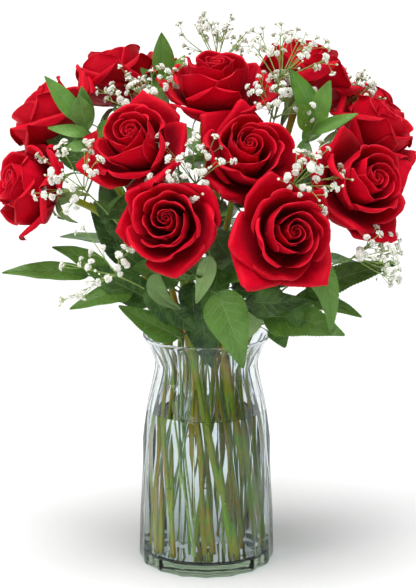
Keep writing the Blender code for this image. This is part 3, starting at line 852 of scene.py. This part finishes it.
def make_stem(name, seed):
    """A stem with swollen leaf scars, faint ridges, a thicker neck under the hip, and thorns."""
    rng = np.random.default_rng(seed)
    knots = STEMS[name]
    radius = foot_radius(name + "_stem", knots[0])
    rows, sides = 64, 12
    line = smooth_line(knots, rows)
    length = float(np.linalg.norm(np.diff(line, axis=0), axis=1).sum())
    run = np.linspace(0, length, rows)
    swell = np.zeros(rows)
    scars = np.arange(0.03 + rng.uniform(0, 0.02), length - 0.03, 0.055)
    for where in scars:
        swell += 0.16 * np.exp(-(((run - where) / 0.0035) ** 2))
    swell += 0.12 * np.exp(-(((run - length) / 0.006) ** 2)) - 0.04
    turn = np.arange(sides) * 2 * math.pi / sides
    ridges = 0.03 * np.sin(turn * 3 + 1)[None, :] + swell[:, None]
    form = Form()
    add_tube(form, line, radius, sides, 0.0, rng.uniform(0.25, 1.0), ridges)
    side, other, forward = frames_along(line)
    thorns = 9
    spots = rng.integers(6, rows - 6, thorns)
    turns = rng.uniform(0, 2 * math.pi, thorns)
    out = side[spots] * np.cos(turns)[:, None] + other[spots] * np.sin(turns)[:, None]
    aims = unit(out - forward[spots] * 0.25)
    form.add_mesh(copies(line[spots] + out * radius * 0.92, aims, THORN, seed, 0.55, 1.0, ROSE_STEM))
    show(name + "_stalk", form.mesh(name + "_stalk"), ROSE_STEM, name + "_stem")


# Leaves

# Each leaf's own leaflets, as in the CAD. A leaflet has the places of its root, middle and tip, its
# width in metres, and how far its face leans from straight up towards the front, in degrees.
LEAVES = {
    "left_leaf": [
        ((-70, 0.84, 0.52), (-66, 1.10, 0.50), (-68, 1.48, 0.38), 0.026, 35),
        ((-72, 1.06, 0.64), (-74, 1.26, 0.84), (-76, 1.60, 0.98), 0.022, 40),
        ((-74, 1.24, 0.68), (-76, 1.66, 0.74), (-79, 2.10, 0.72), 0.020, 40),
    ],
    "rim_leaf": [((-22, 0.72, 0.12), (-40, 0.84, 0.24), (-56, 1.06, 0.42), 0.028, 40)],
    "front_leaf": [((6, 0.88, 0.62), (13, 1.00, 0.34), (20, 1.06, -0.12), 0.036, 78)],
    "right_leaf": [
        ((76, 0.90, 0.34), (74, 1.20, 0.40), (70, 1.66, 0.30), 0.028, 30),
        ((78, 1.04, 0.46), (80, 1.42, 0.64), (82, 1.98, 0.80), 0.030, 40),
    ],
    "right_front_leaf": [((40, 0.88, 0.30), (50, 1.18, 0.32), (58, 1.62, 0.18), 0.038, 50)],
    "right_hanging_leaf": [((46, 1.22, 0.92), (52, 1.47, 0.74), (53, 1.54, 0.22), 0.024, 75)],
    "back_left_leaf": [
        ((-140, 0.80, 0.56), (-146, 1.12, 0.60), (-152, 1.50, 0.44), 0.030, -35),
        ((-130, 0.92, 0.70), (-122, 1.30, 0.84), (-118, 1.76, 0.86), 0.028, -35),
    ],
    "back_right_leaf": [
        ((142, 0.80, 0.50), (154, 1.12, 0.56), (164, 1.50, 0.42), 0.030, -35),
        ((126, 0.96, 0.58), (118, 1.34, 0.66), (110, 1.74, 0.60), 0.028, -35),
    ],
}
# The stem that each leaf grows from, and how far above the rim, in bloom widths.
LEAF_HOSTS = {
    "left_leaf": ("rose_06", 0.42),
    "rim_leaf": ("rose_01", 0.10),
    "front_leaf": ("rose_01", 0.60),
    "right_leaf": ("rose_05", 0.36),
    "right_front_leaf": ("rose_02", 0.36),
    "right_hanging_leaf": ("rose_02", 0.74),
    "back_left_leaf": ("rose_09", 0.45),
    "back_right_leaf": ("rose_12", 0.40),
}
# Further leaflets of each leaf that fill the bouquet between the stems. After the face come the
# tone, 0 dark to 1 fresh, and how much of the pale underside shows.
FILLERS = {
    "left_leaf": [
        ((-55, 0.73, 0.76), (-62, 0.82, 0.83), (-70, 1.00, 1.01), 0.024, 45, 0.2, 0.0),
        ((-79, 0.77, 0.99), (-83, 0.95, 1.23), (-86, 1.15, 1.39), 0.024, 55, 0.1, 0.1),
        ((-57, 0.60, 1.14), (-41, 0.57, 0.96), (-30, 0.58, 0.74), 0.022, 80, 0.0, 0.0),
        ((-85, 1.18, 1.72), (-87, 1.42, 1.94), (-88, 1.68, 2.12), 0.024, 60, 0.3, 0.0),
        ((-60, 0.62, 0.40), (-67, 0.93, 0.58), (-74, 1.29, 0.78), 0.028, 60, 0.2, 0.0),
        ((-90, 0.71, 0.68), (-90, 0.96, 1.01), (-90, 1.19, 1.37), 0.026, 60, 0.1, 0.0),
        ((-102, 0.89, 1.06), (-101, 1.00, 1.36), (-100, 1.08, 1.62), 0.024, 70, 0.1, 0.2),
    ],
    "rim_leaf": [
        ((-30, 0.93, 0.80), (-31, 0.93, 0.60), (-19, 0.78, 0.42), 0.015, 75, 0.5, 0.4),
        ((-31, 0.71, 0.42), (-22, 0.69, 0.31), (-10, 0.62, 0.16), 0.019, 60, 0.1, 0.0),
        ((-44, 0.70, 0.62), (-40, 0.76, 0.46), (-32, 0.74, 0.24), 0.022, 70, 0.1, 0.0),
    ],
    "front_leaf": [
        ((2, 0.95, 1.01), (-1, 0.93, 0.78), (-7, 0.83, 0.50), 0.015, 80, 1.0, 0.7),
        ((14, 0.50, 0.80), (6, 0.61, 0.59), (-3, 0.68, 0.40), 0.024, 75, 0.6, 0.0),
        ((13, 0.31, 1.13), (24, 0.48, 0.92), (33, 0.65, 0.69), 0.030, 70, 0.15, 0.25),
        ((38, 0.75, 0.50), (36, 0.74, 0.28), (32, 0.66, 0.03), 0.024, 80, 0.9, 0.8),
        ((-16, 0.45, 0.62), (-14, 0.56, 0.46), (-10, 0.62, 0.24), 0.024, 75, 0.0, 0.0),
        ((-12, 0.38, 0.44), (-4, 0.42, 0.14), (6, 0.40, -0.26), 0.032, 82, 0.1, 0.0),
    ],
    "right_front_leaf": [
        ((27, 0.85, 0.51), (38, 1.06, 0.50), (49, 1.34, 0.54), 0.024, 62, 0.1, 0.0),
        ((47, 0.93, 0.24), (47, 1.00, 0.15), (48, 1.06, 0.02), 0.018, 70, 0.5, 0.0),
        ((46, 1.15, 0.44), (47, 1.21, 0.36), (47, 1.25, 0.26), 0.015, 70, 0.3, 0.0),
    ],
    "right_hanging_leaf": [
        ((48, 0.62, 0.79), (54, 0.62, 1.02), (64, 0.68, 1.28), 0.026, 65, 0.1, 0.1),
        ((72, 0.86, 1.54), (76, 1.02, 1.64), (81, 1.22, 1.74), 0.024, 60, 0.3, 0.0),
    ],
    "right_leaf": [((60, 0.70, 0.62), (68, 0.86, 0.76), (74, 1.10, 0.98), 0.028, 55, 0.2, 0.0)],
}
# The last leaflets of each leaf stand round the stems by turns: their middle azimuth and number.
FANS = {
    "left_leaf": (-75, 4),
    "rim_leaf": (-30, 3),
    "front_leaf": (5, 4),
    "right_front_leaf": (40, 3),
    "right_leaf": (80, 4),
    "right_hanging_leaf": (60, 2),
    "back_left_leaf": (-140, 8),
    "back_right_leaf": (145, 8),
}
STEM_CURVES = {name: smooth_line(line, 80) for name, line in STEMS.items()}
STEM_POINTS = np.vstack(list(STEM_CURVES.values()))
LEAFLET_THICKNESS = 0.00042
# The teeth along each edge of a rose leaflet, and how far a leaflet is folded up along its midrib.
TEETH = 30
LEAFLET_FOLD = 0.22


def add_leaflet(form, rng, places, width, face, tone, under=0.0):
    """A serrated rose leaflet with a folded midrib and a gentle wave. places are its root, middle and tip."""
    root, middle, tip = places
    rows, columns = 2 * TEETH + 1, 11
    handle = middle * 2 - (root + tip) / 2
    line = bezier(root, lerp(root, handle, 2 / 3), lerp(tip, handle, 2 / 3), tip, rows)
    v = np.linspace(0, 1, rows)
    outline = np.sin(math.pi * v**0.72) ** 0.82 * (1 - 0.25 * v)
    outline = outline / outline.max()
    saw = np.where(np.arange(rows) % 2 == 0, -0.5, 0.5) * 0.036 * np.sin(math.pi * v)
    lean = math.radians(face)
    normal = UP * math.cos(lean) + FRONT * math.sin(lean)
    widths = width * outline + 0.0009
    grid, across, up = pointed(line, widths, normal, LEAFLET_FOLD, columns, 0.10)
    u = np.linspace(-1, 1, columns)[None, :]
    edge = np.abs(u) ** 6
    forward = unit(np.gradient(line, axis=0))
    grid = grid + across[:, None] * (np.sign(u) * edge * saw[:, None] * width)[..., None]
    grid = grid + forward[:, None] * (edge * 0.0006)[..., None]
    phase = rng.uniform(0, 2 * math.pi, 2)
    wave = 0.035 * width * np.sin(v[:, None] * 9 + u * 1.3 + phase[0]) * np.abs(u) * outline[:, None]
    wave = wave + 0.02 * width * np.sin(v[:, None] * 22 + phase[1]) * u**2 * outline[:, None]
    grid = grid + up[:, None] * wave[..., None]
    add_sheet(form, grid, LEAFLET_THICKNESS, sheet_over(u, v[:, None]), under, tone)


def add_petiole(form, root, middle):
    """A short stalk up to a leaflet's root from the nearest stem."""
    near = STEM_POINTS[np.argmin(np.linalg.norm(STEM_POINTS - root + UP * 0.015, axis=1))]
    rows = 10
    line = bezier(near, lerp(near, root, 0.4) + UP * 0.002, lerp(root, middle, -0.3), root, rows)
    add_tube(form, line, np.linspace(1.0, 0.7, rows) * MM, 6, mark=0.5, tone=0.6)


def make_leaf(name, seed):
    """A leaf's own stalk and leaflets, then its fillers and its fan, each on a stalk of its own."""
    rng = np.random.default_rng(seed)
    form = Form()
    host, up_stem = LEAF_HOSTS[name]
    leaflets = LEAVES[name]
    roots = [at(*one[0]) for one in leaflets]
    stem = STEM_CURVES[host]
    start = stem[np.argmin(np.abs(stem[:, 2] - RIM - up_stem * BLOOM_WIDTH))]
    rows = 20
    stalk = smooth_line([start, *roots, lerp(roots[-1], at(*leaflets[-1][1]), 0.25)], rows)
    add_tube(form, stalk, np.linspace(1.25, 0.7, rows) * MM, 7, mark=0.6, tone=0.6)
    for *places, width, face in leaflets:
        add_leaflet(form, rng, [at(*one) for one in places], width, face, rng.uniform(0.35, 0.95))
    more = list(FILLERS.get(name, []))
    azimuth, count = FANS[name]
    for i in range(count):
        turn = azimuth + lerp(-34, 34, (i + 0.5) / count) + rng.uniform(-6, 6)
        rise = lerp(0.55, 1.55, (i * 0.618 + rng.uniform(0, 0.15)) % 1)
        reach = 0.26 + 0.26 * rise
        swing, climb = rng.uniform(-14, 14), rng.uniform(-0.10, 0.30)
        places = [(turn, reach, rise), (turn + swing, reach + 0.24, rise + climb)]
        places.append((turn + 1.6 * swing, reach + 0.48, rise + 1.5 * climb - 0.06))
        face = rng.uniform(35, 75) * (1 if abs(turn) < 90 else -1)
        more.append((*places, rng.uniform(0.022, 0.030), face, rng.uniform(0, 0.8), rng.uniform(0, 0.3)))
    for *places, width, face, tone, under in more:
        places = [at(*one) for one in places]
        add_petiole(form, *places[:2])
        add_leaflet(form, rng, places, width, face, tone, under)
    show(name + "_leaflets", form.mesh(name + "_leaflets", 60), ROSE_LEAF, name)


# Each ruscus sprig: its tip, that tip's lean, its blades from the tip down, as the way each leans,
# its length and its width in metres, and how much of their pale underside shows.
RUSCUS = {
    "ruscus_upper_left": (
        (-71, 1.32, 2.26),
        (-70, 40),
        [
            (-80, 37, 0.048, 0.017), (-10, 34, 0.034, 0.020), (-20, 18, 0.040, 0.016),
            (-78, 80, 0.036, 0.012), (30, 60, 0.034, 0.015), (-60, 96, 0.032, 0.013),
        ],
        0.35,
    ),
    "ruscus_upper_right": (
        (72, 1.16, 2.26),
        (60, 34),
        [
            (-72, 28, 0.050, 0.020), (50, 22, 0.042, 0.018), (-30, 44, 0.034, 0.020),
            (84, 66, 0.044, 0.012), (-14, 150, 0.046, 0.016), (130, 52, 0.036, 0.016),
        ],
        0.0,
    ),
    "ruscus_top": (
        (-144, 0.74, 2.52),
        (-120, 12),
        [
            (-20, 8, 0.046, 0.020), (80, 30, 0.034, 0.016), (-90, 44, 0.032, 0.016), (180, 46, 0.036, 0.016),
            (-30, 60, 0.032, 0.015),
        ],
        0.1,
    ),
    "ruscus_back": (
        (178, 1.20, 1.70),
        (180, 50),
        [
            (180, 20, 0.048, 0.020), (-120, 50, 0.044, 0.018), (120, 50, 0.044, 0.018),
            (180, 100, 0.044, 0.018), (-140, 80, 0.040, 0.017), (140, 80, 0.040, 0.017),
        ],
        0.0,
    ),
}
RUSCUS_THICKNESS = 0.00045


def add_stalk(form, name, tip, rows, taper, sides, mark, tone):
    """A CAD node's stalk, from its foot up to a tip. Returns its radius at the foot."""
    line = stem_line(name, 5)
    radius = foot_radius(name, line[0])
    line = smooth_line(np.vstack([line[:-1], tip]), rows)
    add_tube(form, line, radius * np.linspace(1, taper, rows), sides, mark, tone)
    return radius


def make_ruscus(name, seed):
    rng = np.random.default_rng(seed)
    tip, lean, blades, under = RUSCUS[name]
    tip, axis = at(*tip), direction(*lean)
    form = Form()
    radius = add_stalk(form, name, tip, 50, 0.6, 8, 0.35, 0.7)
    rows, columns = 21, 9
    for i, (azimuth, angle, length, width) in enumerate(blades):
        out = direction(azimuth, angle)
        root = tip - axis * radius * 2 * (0.1 + 1.5 * i)
        sag = -UP * 0.05 + unit(rng.normal(size=3)) * 0.04
        run = np.linspace(0, 1, rows)
        curve = root + out * (length * run)[:, None] + sag * (length * (run**2 - run * 0.7))[:, None]
        widths = width * np.sin(math.pi * run**0.82) ** 0.9 * (1 - 0.15 * run) + 0.0006
        grid, _, up = pointed(curve, widths, FRONT + UP * 0.6, 0.16, columns, 0.06)
        u = np.linspace(-1, 1, columns)[None, :]
        wave = 0.05 * width * np.sin(run[:, None] * 6 + u + rng.uniform(0, 6)) * np.abs(u)
        grid = grid + up[:, None] * wave[..., None]
        sheet = sheet_over(u, run[:, None])
        shows, tone = under * rng.uniform(0.6, 1), rng.uniform(0.1, 1)
        add_sheet(form, grid, RUSCUS_THICKNESS, sheet, shows, tone)
    show(name + "_sprig", form.mesh(name + "_sprig", 60), RUSCUS_LEAF, name)


# Baby's breath


def floret_pattern():
    """A double floret: a puff of folded petals over a green calyx, along +Z."""
    rng = np.random.default_rng(5)
    form = Form()
    petals = 13
    for i in range(petals):
        t = (i + 0.5) / petals
        azimuth, rise = i * GOLDEN_TURN, math.radians(lerp(82, 4, t**0.9))
        level = math.cos(rise)
        out = np.array([math.cos(azimuth) * level, math.sin(azimuth) * level, math.sin(rise)])
        across = unit(np.cross(out, [0.2, 0.1, 1.0])) * (1.25 + 0.4 * t)
        up = unit(np.cross(across, out))
        base = out * 0.3
        reach = out * (2.2 + 0.5 * t) + rng.normal(size=3) * 0.15
        middle = reach - up * 0.5 + out * 0.2
        points = np.array([base, reach - across + up * 0.4, middle, reach + across + up * 0.4])
        faces = [(0, 2, 1), (0, 3, 2), (0, 1, 3), (1, 2, 3)]
        centre = points.mean(0)
        fixed = []
        for a, b, c in faces:
            normal = np.cross(points[b] - points[a], points[c] - points[a])
            fixed.append((a, b, c) if normal @ (points[a] - centre) > 0 else (a, c, b))
        form.add(points * MM, fixed, None, 0.0, rng.uniform(0.2, 1.0))
    line = np.array([[0, 0, -1.5], [0, 0, -0.6], [0, 0, 0.5]]) * MM
    add_tube(form, line, np.array([0.35, 0.95, 1.3]) * MM, 5, mark=0.85, tone=0.5)
    return pattern_object("floret", form)


def bud_pattern():
    """A closed bud: a small white egg in a green cup."""
    form = Form()
    egg = np.array([[0, 0, 0.0], [0, 0, 0.7], [0, 0, 1.5], [0, 0, 2.1]]) * MM
    add_tube(form, egg, np.array([0.7, 1.0, 0.85, 0.3]) * MM, 6, mark=0.05, tone=0.6)
    cup = np.array([[0, 0, -0.6], [0, 0, 0.1], [0, 0, 0.9]]) * MM
    add_tube(form, cup, np.array([0.3, 0.8, 1.05]) * MM, 6, mark=1.0, tone=0.5)
    return pattern_object("bud", form)


FLORET, BUD = floret_pattern(), bud_pattern()

# Each spray: where it starts to branch, its lean, its reach and spread in bloom widths, and its
# branches.
SPRAYS = {
    "babys_breath_front": ((-8, 0.74, 1.69), (-8, 54), 0.50, 0.42, 9),
    "babys_breath_front_right": ((49, 1.16, 1.68), (44, 66), 0.42, 0.40, 9),
    "babys_breath_lower_left": ((-48, 1.20, 0.78), (-52, 70), 0.56, 0.52, 5),
    "babys_breath_left": ((-62, 1.38, 1.62), (-36, 62), 0.40, 0.42, 9),
    "babys_breath_upper_left": ((-100, 0.56, 2.26), (-80, 24), 0.42, 0.46, 10),
    "babys_breath_top": ((172, 0.80, 2.70), (160, 12), 0.42, 0.40, 9),
    "babys_breath_top_right": ((88, 0.74, 2.66), (50, 16), 0.44, 0.42, 10),
    "babys_breath_upper_right": ((82, 0.70, 2.26), (64, 28), 0.38, 0.42, 9),
    "babys_breath_right": ((117, 1.61, 2.18), (98, 26), 0.42, 0.24, 8),
    "babys_breath_lower_right": ((68, 1.60, 0.92), (70, 78), 0.42, 0.34, 10),
}


def make_spray(name, seed):
    """A stem that forks again and again, with a floret or a bud at each end."""
    rng = np.random.default_rng(seed)
    place, lean, reach, spread, count = SPRAYS[name]
    hub, axis = at(*place), direction(*lean)
    form = Form()
    green = {"mark": 1.0, "tone": 0.5}
    add_stalk(form, name, hub, 44, 0.55, 6, **green)
    side = unit(np.cross(axis, [0.13, 0.37, 0.92]))
    florets, buds = [], []
    for i in range(count):
        share = math.sqrt((i + 0.5) / count)
        out = turned(side, axis, i * GOLDEN_TURN)
        far = reach * (1.0 - 0.35 * share * share)
        end = hub + (axis * far + out * spread * share) * BLOOM_WIDTH
        root = hub - axis * 0.0012 * (i % 3)
        sway = unit(rng.normal(size=3)) * 0.004
        branch = bezier(root, lerp(root, end, 0.35) + sway, lerp(root, end, 0.7) - sway * 0.5, end, 9)
        add_tube(form, branch, np.linspace(0.60, 0.36, 9) * MM, 5, **green)
        florets.append((end, unit(branch[-1] - branch[-2] + UP * 0.0004)))
        for _ in range(rng.integers(3, 5)):
            where = branch[rng.integers(3, 8)]
            stray = unit(rng.normal(size=3)) * np.linalg.norm(end - root) * 0.75
            heading = unit(end - root + stray + UP * 0.004)
            long = rng.uniform(0.009, 0.017)
            twig_end = where + heading * long
            bow = unit(rng.normal(size=3)) * 0.0012
            third = heading * long * 0.3
            twig = bezier(where, where + third + bow, twig_end - third + bow, twig_end, 6)
            add_tube(form, twig, np.linspace(0.34, 0.24, 6) * MM, 4, **green)
            (buds if rng.random() < 0.22 else florets).append((twig_end, heading))
            if rng.random() < 0.6:
                turn = unit(heading + unit(rng.normal(size=3)) * 0.9)
                fork = twig[3]
                fork_end = fork + turn * rng.uniform(0.005, 0.009)
                add_tube(form, np.linspace(fork, fork_end, 4), 0.23 * MM, 4, **green)
                (buds if rng.random() < 0.35 else florets).append((fork_end, turn))
    for found, pattern, small, large in ((florets, FLORET, 0.85, 1.30), (buds, BUD, 0.9, 1.3)):
        if found:
            places, aims = zip(*found)
            form.add_mesh(copies(places, aims, pattern, seed, small, large, BREATH))
    show(name + "_florets", form.mesh(name + "_florets", 50), BREATH, name)


# The vase and the water

COLUMNS = 16
# Where the points stand across each half of a panel, and how far a ridge stands above the valleys.
CUTS = (0.04, 0.12, 0.88, 0.96)
RIDGE = 0.0021
# The vase's profiles as drawn, in millimetres: heights, then radii.
DRAWN_HEIGHT = 200
OUTER = (
    [0, 6, 30, 65, 95, 114, 130, 145, 160, 170, 175, 186, 196, 200],
    [52.0, 58.0, 57.5, 56.5, 55.8, 55.2, 53.6, 50.4, 46.4, 44.1, 43.7, 48.0, 52.9, 54.3],
)
INNER = (
    [11, 14, 18, 30, 65, 95, 114, 130, 145, 160, 170, 175, 186, 194],
    [46.5, 52.0, 53.4, 53.6, 52.6, 51.8, 51.2, 49.6, 46.5, 42.6, 40.3, 39.9, 44.4, 49.4],
)
# How much of the pitch the kites take from the panels between them, by height.
SHARES = ([0, 42, 112, 170, 195], [0, 0, 1, 0, 0.5])
PANEL_HEIGHTS = [6, 16, 28, 42, 54, 66, 78, 90, 101, 112]
PANEL_HEIGHTS += [122, 132, 142, 152, 161, 170, 176, 183, 190, 195]
# Rounded ends, as (height, radius): the foot, the lip and the floor inside.
FOOT = [(1.2, 0), (1.2, 20), (0.9, 34), (0, 40), (0, 52.5), (0.6, 54.6), (3.0, 57.2)]
LIP = [(196.8, 53.4), (198.6, 54.1), (199.6, 53.9), (200, 53.3), (199.8, 52.5), (199.0, 51.9), (197.5, 51.3)]
FLOOR = [(10.0, 40), (9.7, 20), (9.6, 0)]
# Points closer than this are one point.
MEETING = 2e-6


def make_vase():
    """The pressed glass: tall triangles from the base run up to points between long kites, and the neck
    flares out in pointed flutes. Each has a soft ridge up its middle and a valley on either side."""
    pitch = 2 * math.pi / COLUMNS
    rings = []
    for height in PANEL_HEIGHTS:
        radius = float(np.interp(height, *OUTER)) * MM
        share = float(np.interp(height, *SHARES))
        ring = []
        valley = 0.5 + max(share, 1 - share) / 2
        half = share / 2
        for k in range(COLUMNS):
            turns = [k + 0.5 - half, k + 0.5, k + 0.5 + half, k + 1, k + 1.5 - half]
            depths = [valley, 1 - share, valley, share, valley]
            corners = [
                np.array([math.cos(t * pitch), math.sin(t * pitch)]) * (radius - RIDGE * d)
                for t, d in zip(turns, depths)
            ]
            for a, b in zip(corners, corners[1:]):
                ring += [[*lerp(a, b, u), height / DRAWN_HEIGHT * RIM] for u in CUTS]
        rings.append(np.array(ring))
    sides = COLUMNS * 4 * len(CUTS)
    turn = (np.arange(sides) + 0.5) * 2 * math.pi / sides + pitch / 4
    lowest = float(np.interp(PANEL_HEIGHTS[0], *OUTER))
    below = [rings[0] * [r / lowest, r / lowest, 0] + UP * h / DRAWN_HEIGHT * RIM for h, r in FOOT]
    profile = [*LIP, *reversed(list(zip(*INNER))), *FLOOR]
    inside = round_rings([(h / DRAWN_HEIGHT * RIM, r * MM) for h, r in profile], turn)
    mesh = closed_rings("vase_glass", [*below, *rings, *inside], 40)
    show("vase_glass", mesh, GLASS, "vase")


def round_rings(profile, turn):
    """Rings of points at the angles turn, one for each height and radius."""
    return [np.stack([np.cos(turn) * r, np.sin(turn) * r, np.full(len(turn), h)], 1) for h, r in profile]


def closed_rings(name, rings, sharp):
    """A mesh over rings whose first and last shrink to a point. Points that meet are joined, what
    collapses then is dropped, and the faces are turned outwards."""
    form = Form()
    form.add(np.vstack(rings), grid_faces(len(rings), len(rings[0]), closed=True))
    mesh = form.mesh(name)
    shell = bmesh.new()
    shell.from_mesh(mesh)
    bmesh.ops.remove_doubles(shell, verts=shell.verts, dist=MEETING)
    bmesh.ops.dissolve_degenerate(shell, edges=shell.edges, dist=MEETING)
    bmesh.ops.recalc_face_normals(shell, faces=shell.faces)
    shell.to_mesh(mesh)
    shell.free()
    mesh.shade_smooth()
    mesh.set_sharp_from_angle(angle=math.radians(sharp))
    return mesh


def make_water():
    """The water reaches a little way into the glass, so that no air shows between them."""
    into_wall, into_floor = 0.00015, 0.0004
    sides = 96
    turn = np.arange(sides) * 2 * math.pi / sides
    heights = np.array(INNER[0]) / DRAWN_HEIGHT * RIM
    radii = np.array(INNER[1]) * MM
    at_level = float(np.interp(WATER_LEVEL, heights, radii))
    profile = [(VASE_FLOOR - into_floor, r) for r in (0.0, 0.030, 0.0462)]
    profile += [(h, r + into_wall) for h, r in zip(heights, radii) if VASE_FLOOR + 0.001 < h < WATER_LEVEL]
    meniscus = [(0.0011, 0.00035 - into_wall), (0.0005, 0.0009), (0.0001, 0.0022), (0, 0.0045)]
    profile += [(WATER_LEVEL + rise, at_level - inward) for rise, inward in meniscus]
    profile += [(WATER_LEVEL, 0.025), (WATER_LEVEL, 0.0)]
    mesh = closed_rings("water_body", round_rings(profile, turn), 50)
    show("water_body", mesh, WATER, "water")


# Build the bouquet

# How open each rose's heart is, and how far its outer petals spread.
OPENNESS = [0.3, 0.3, 0.5, 0.4, 0.4, 0.6, 1.5, 0.8, 1.3, 1.1, 0.8, 0.5]
SPREAD = [0.06, 0.24, 0.20, 0.20, 0.24, 0.14, 0.28, 0.16, 0.32, 0.26, 0.10, 0.04]
for number, rose in enumerate(ROSES):
    make_bloom(rose, 40 + number, OPENNESS[number], SPREAD[number])
    make_calyx(rose, 140 + number)
    make_stem(rose, 240 + number)
for number, leaf in enumerate(LEAVES):
    make_leaf(leaf, 340 + number)
for number, sprig in enumerate(RUSCUS):
    make_ruscus(sprig, 440 + number)
for number, spray in enumerate(SPRAYS):
    make_spray(spray, 540 + number)
make_vase()
make_water()
for pattern in (THORN, FLORET, BUD):
    bpy.data.objects.remove(pattern)


# The studio


def floor_material():
    made, tree, shader = material("paper", Roughness=0.9, Specular_IOR_Level=0.1)
    mottle = mottled(tree, 3.0)
    shade = fit(tree, mottle["Patches"], 0, 1, 0.76, 0.765)
    colour = link(tree, "CombineColor", {0: shade, 1: shade, 2: shade})
    tree.links.new(colour.outputs[0], shader.inputs["Base Color"])
    return made


def stand(name, data, place=(0, 0, 0), aim=(0, 0, -1)):
    """A studio object at a place, which looks along its aim."""
    made = bpy.data.objects.new(name, data)
    bpy.context.scene.collection.objects.link(made)
    made.location = place
    made.rotation_euler = Vector(aim).to_track_quat("-Z", "Y").to_euler()
    return made


def make_floor():
    mesh = bpy.data.meshes.new("floor")
    half = 30.0
    corners = [(x * half, y * half, 0) for x, y in ((-1, -1), (1, -1), (1, 1), (-1, 1))]
    mesh.from_pydata(corners, [], [(0, 1, 2, 3)])
    mesh.materials.append(floor_material())
    floor = bpy.data.objects.new("floor", mesh)
    bpy.context.scene.collection.objects.link(floor)


def make_world():
    """Soft light from above and behind, with dark cards at both sides that draw the glass's edges."""
    world = bpy.data.worlds.new("studio")
    bpy.context.scene.world = world
    world.use_nodes = True
    tree = world.node_tree
    background = tree.nodes["Background"]
    split = link(tree, "SeparateXYZ", {0: link(tree, "TexCoord").outputs["Generated"]})
    height = fit(tree, split.outputs[2], 0.0, 0.55)
    sideways = calc(tree, "ABSOLUTE", split.outputs[0])
    colour = blend(tree, height, (0.34, 0.37, 0.37, 1), (1.0, 1.0, 1.0, 1))
    colour = blend(tree, fit(tree, split.outputs[1], 0.1, 0.6, 0.0, 0.9), colour, (1.0, 1.0, 1.0, 1))
    colour = blend(tree, fit(tree, sideways, 0.60, 0.88, 0.0, 0.7), colour, (0.07, 0.09, 0.09, 1))
    tree.links.new(colour, background.inputs["Color"])
    background.inputs["Strength"].default_value = 0.60


def make_lights():
    sun = bpy.data.lights.new("sun", "SUN")
    sun.energy = 3.3
    sun.angle = math.radians(40)
    stand("sun", sun, aim=(0.05, 0.22, -1.0))

    box = bpy.data.lights.new("softbox", "AREA")
    box.shape = "RECTANGLE"
    box.size, box.size_y = 0.5, 1.2
    box.energy = 13
    stand("softbox", box, (-1.5, -1.3, 0.9), (1.5, 1.3, -0.65))


def make_camera():
    """The camera looks slightly down, and the view shows colours as they are."""
    scene = bpy.context.scene
    camera = bpy.data.cameras.new("camera")
    camera.sensor_fit = "VERTICAL"
    camera.sensor_height = 36
    camera.lens = 133.3
    camera.clip_end = 100
    look_down = math.radians(12.1)
    aim = (0, math.cos(look_down), -math.sin(look_down))
    scene.camera = stand("camera", camera, (0.0013, -1.80, 0.62), aim)
    scene.view_settings.view_transform = "Standard"


make_floor()
make_world()
make_lights()
make_camera()
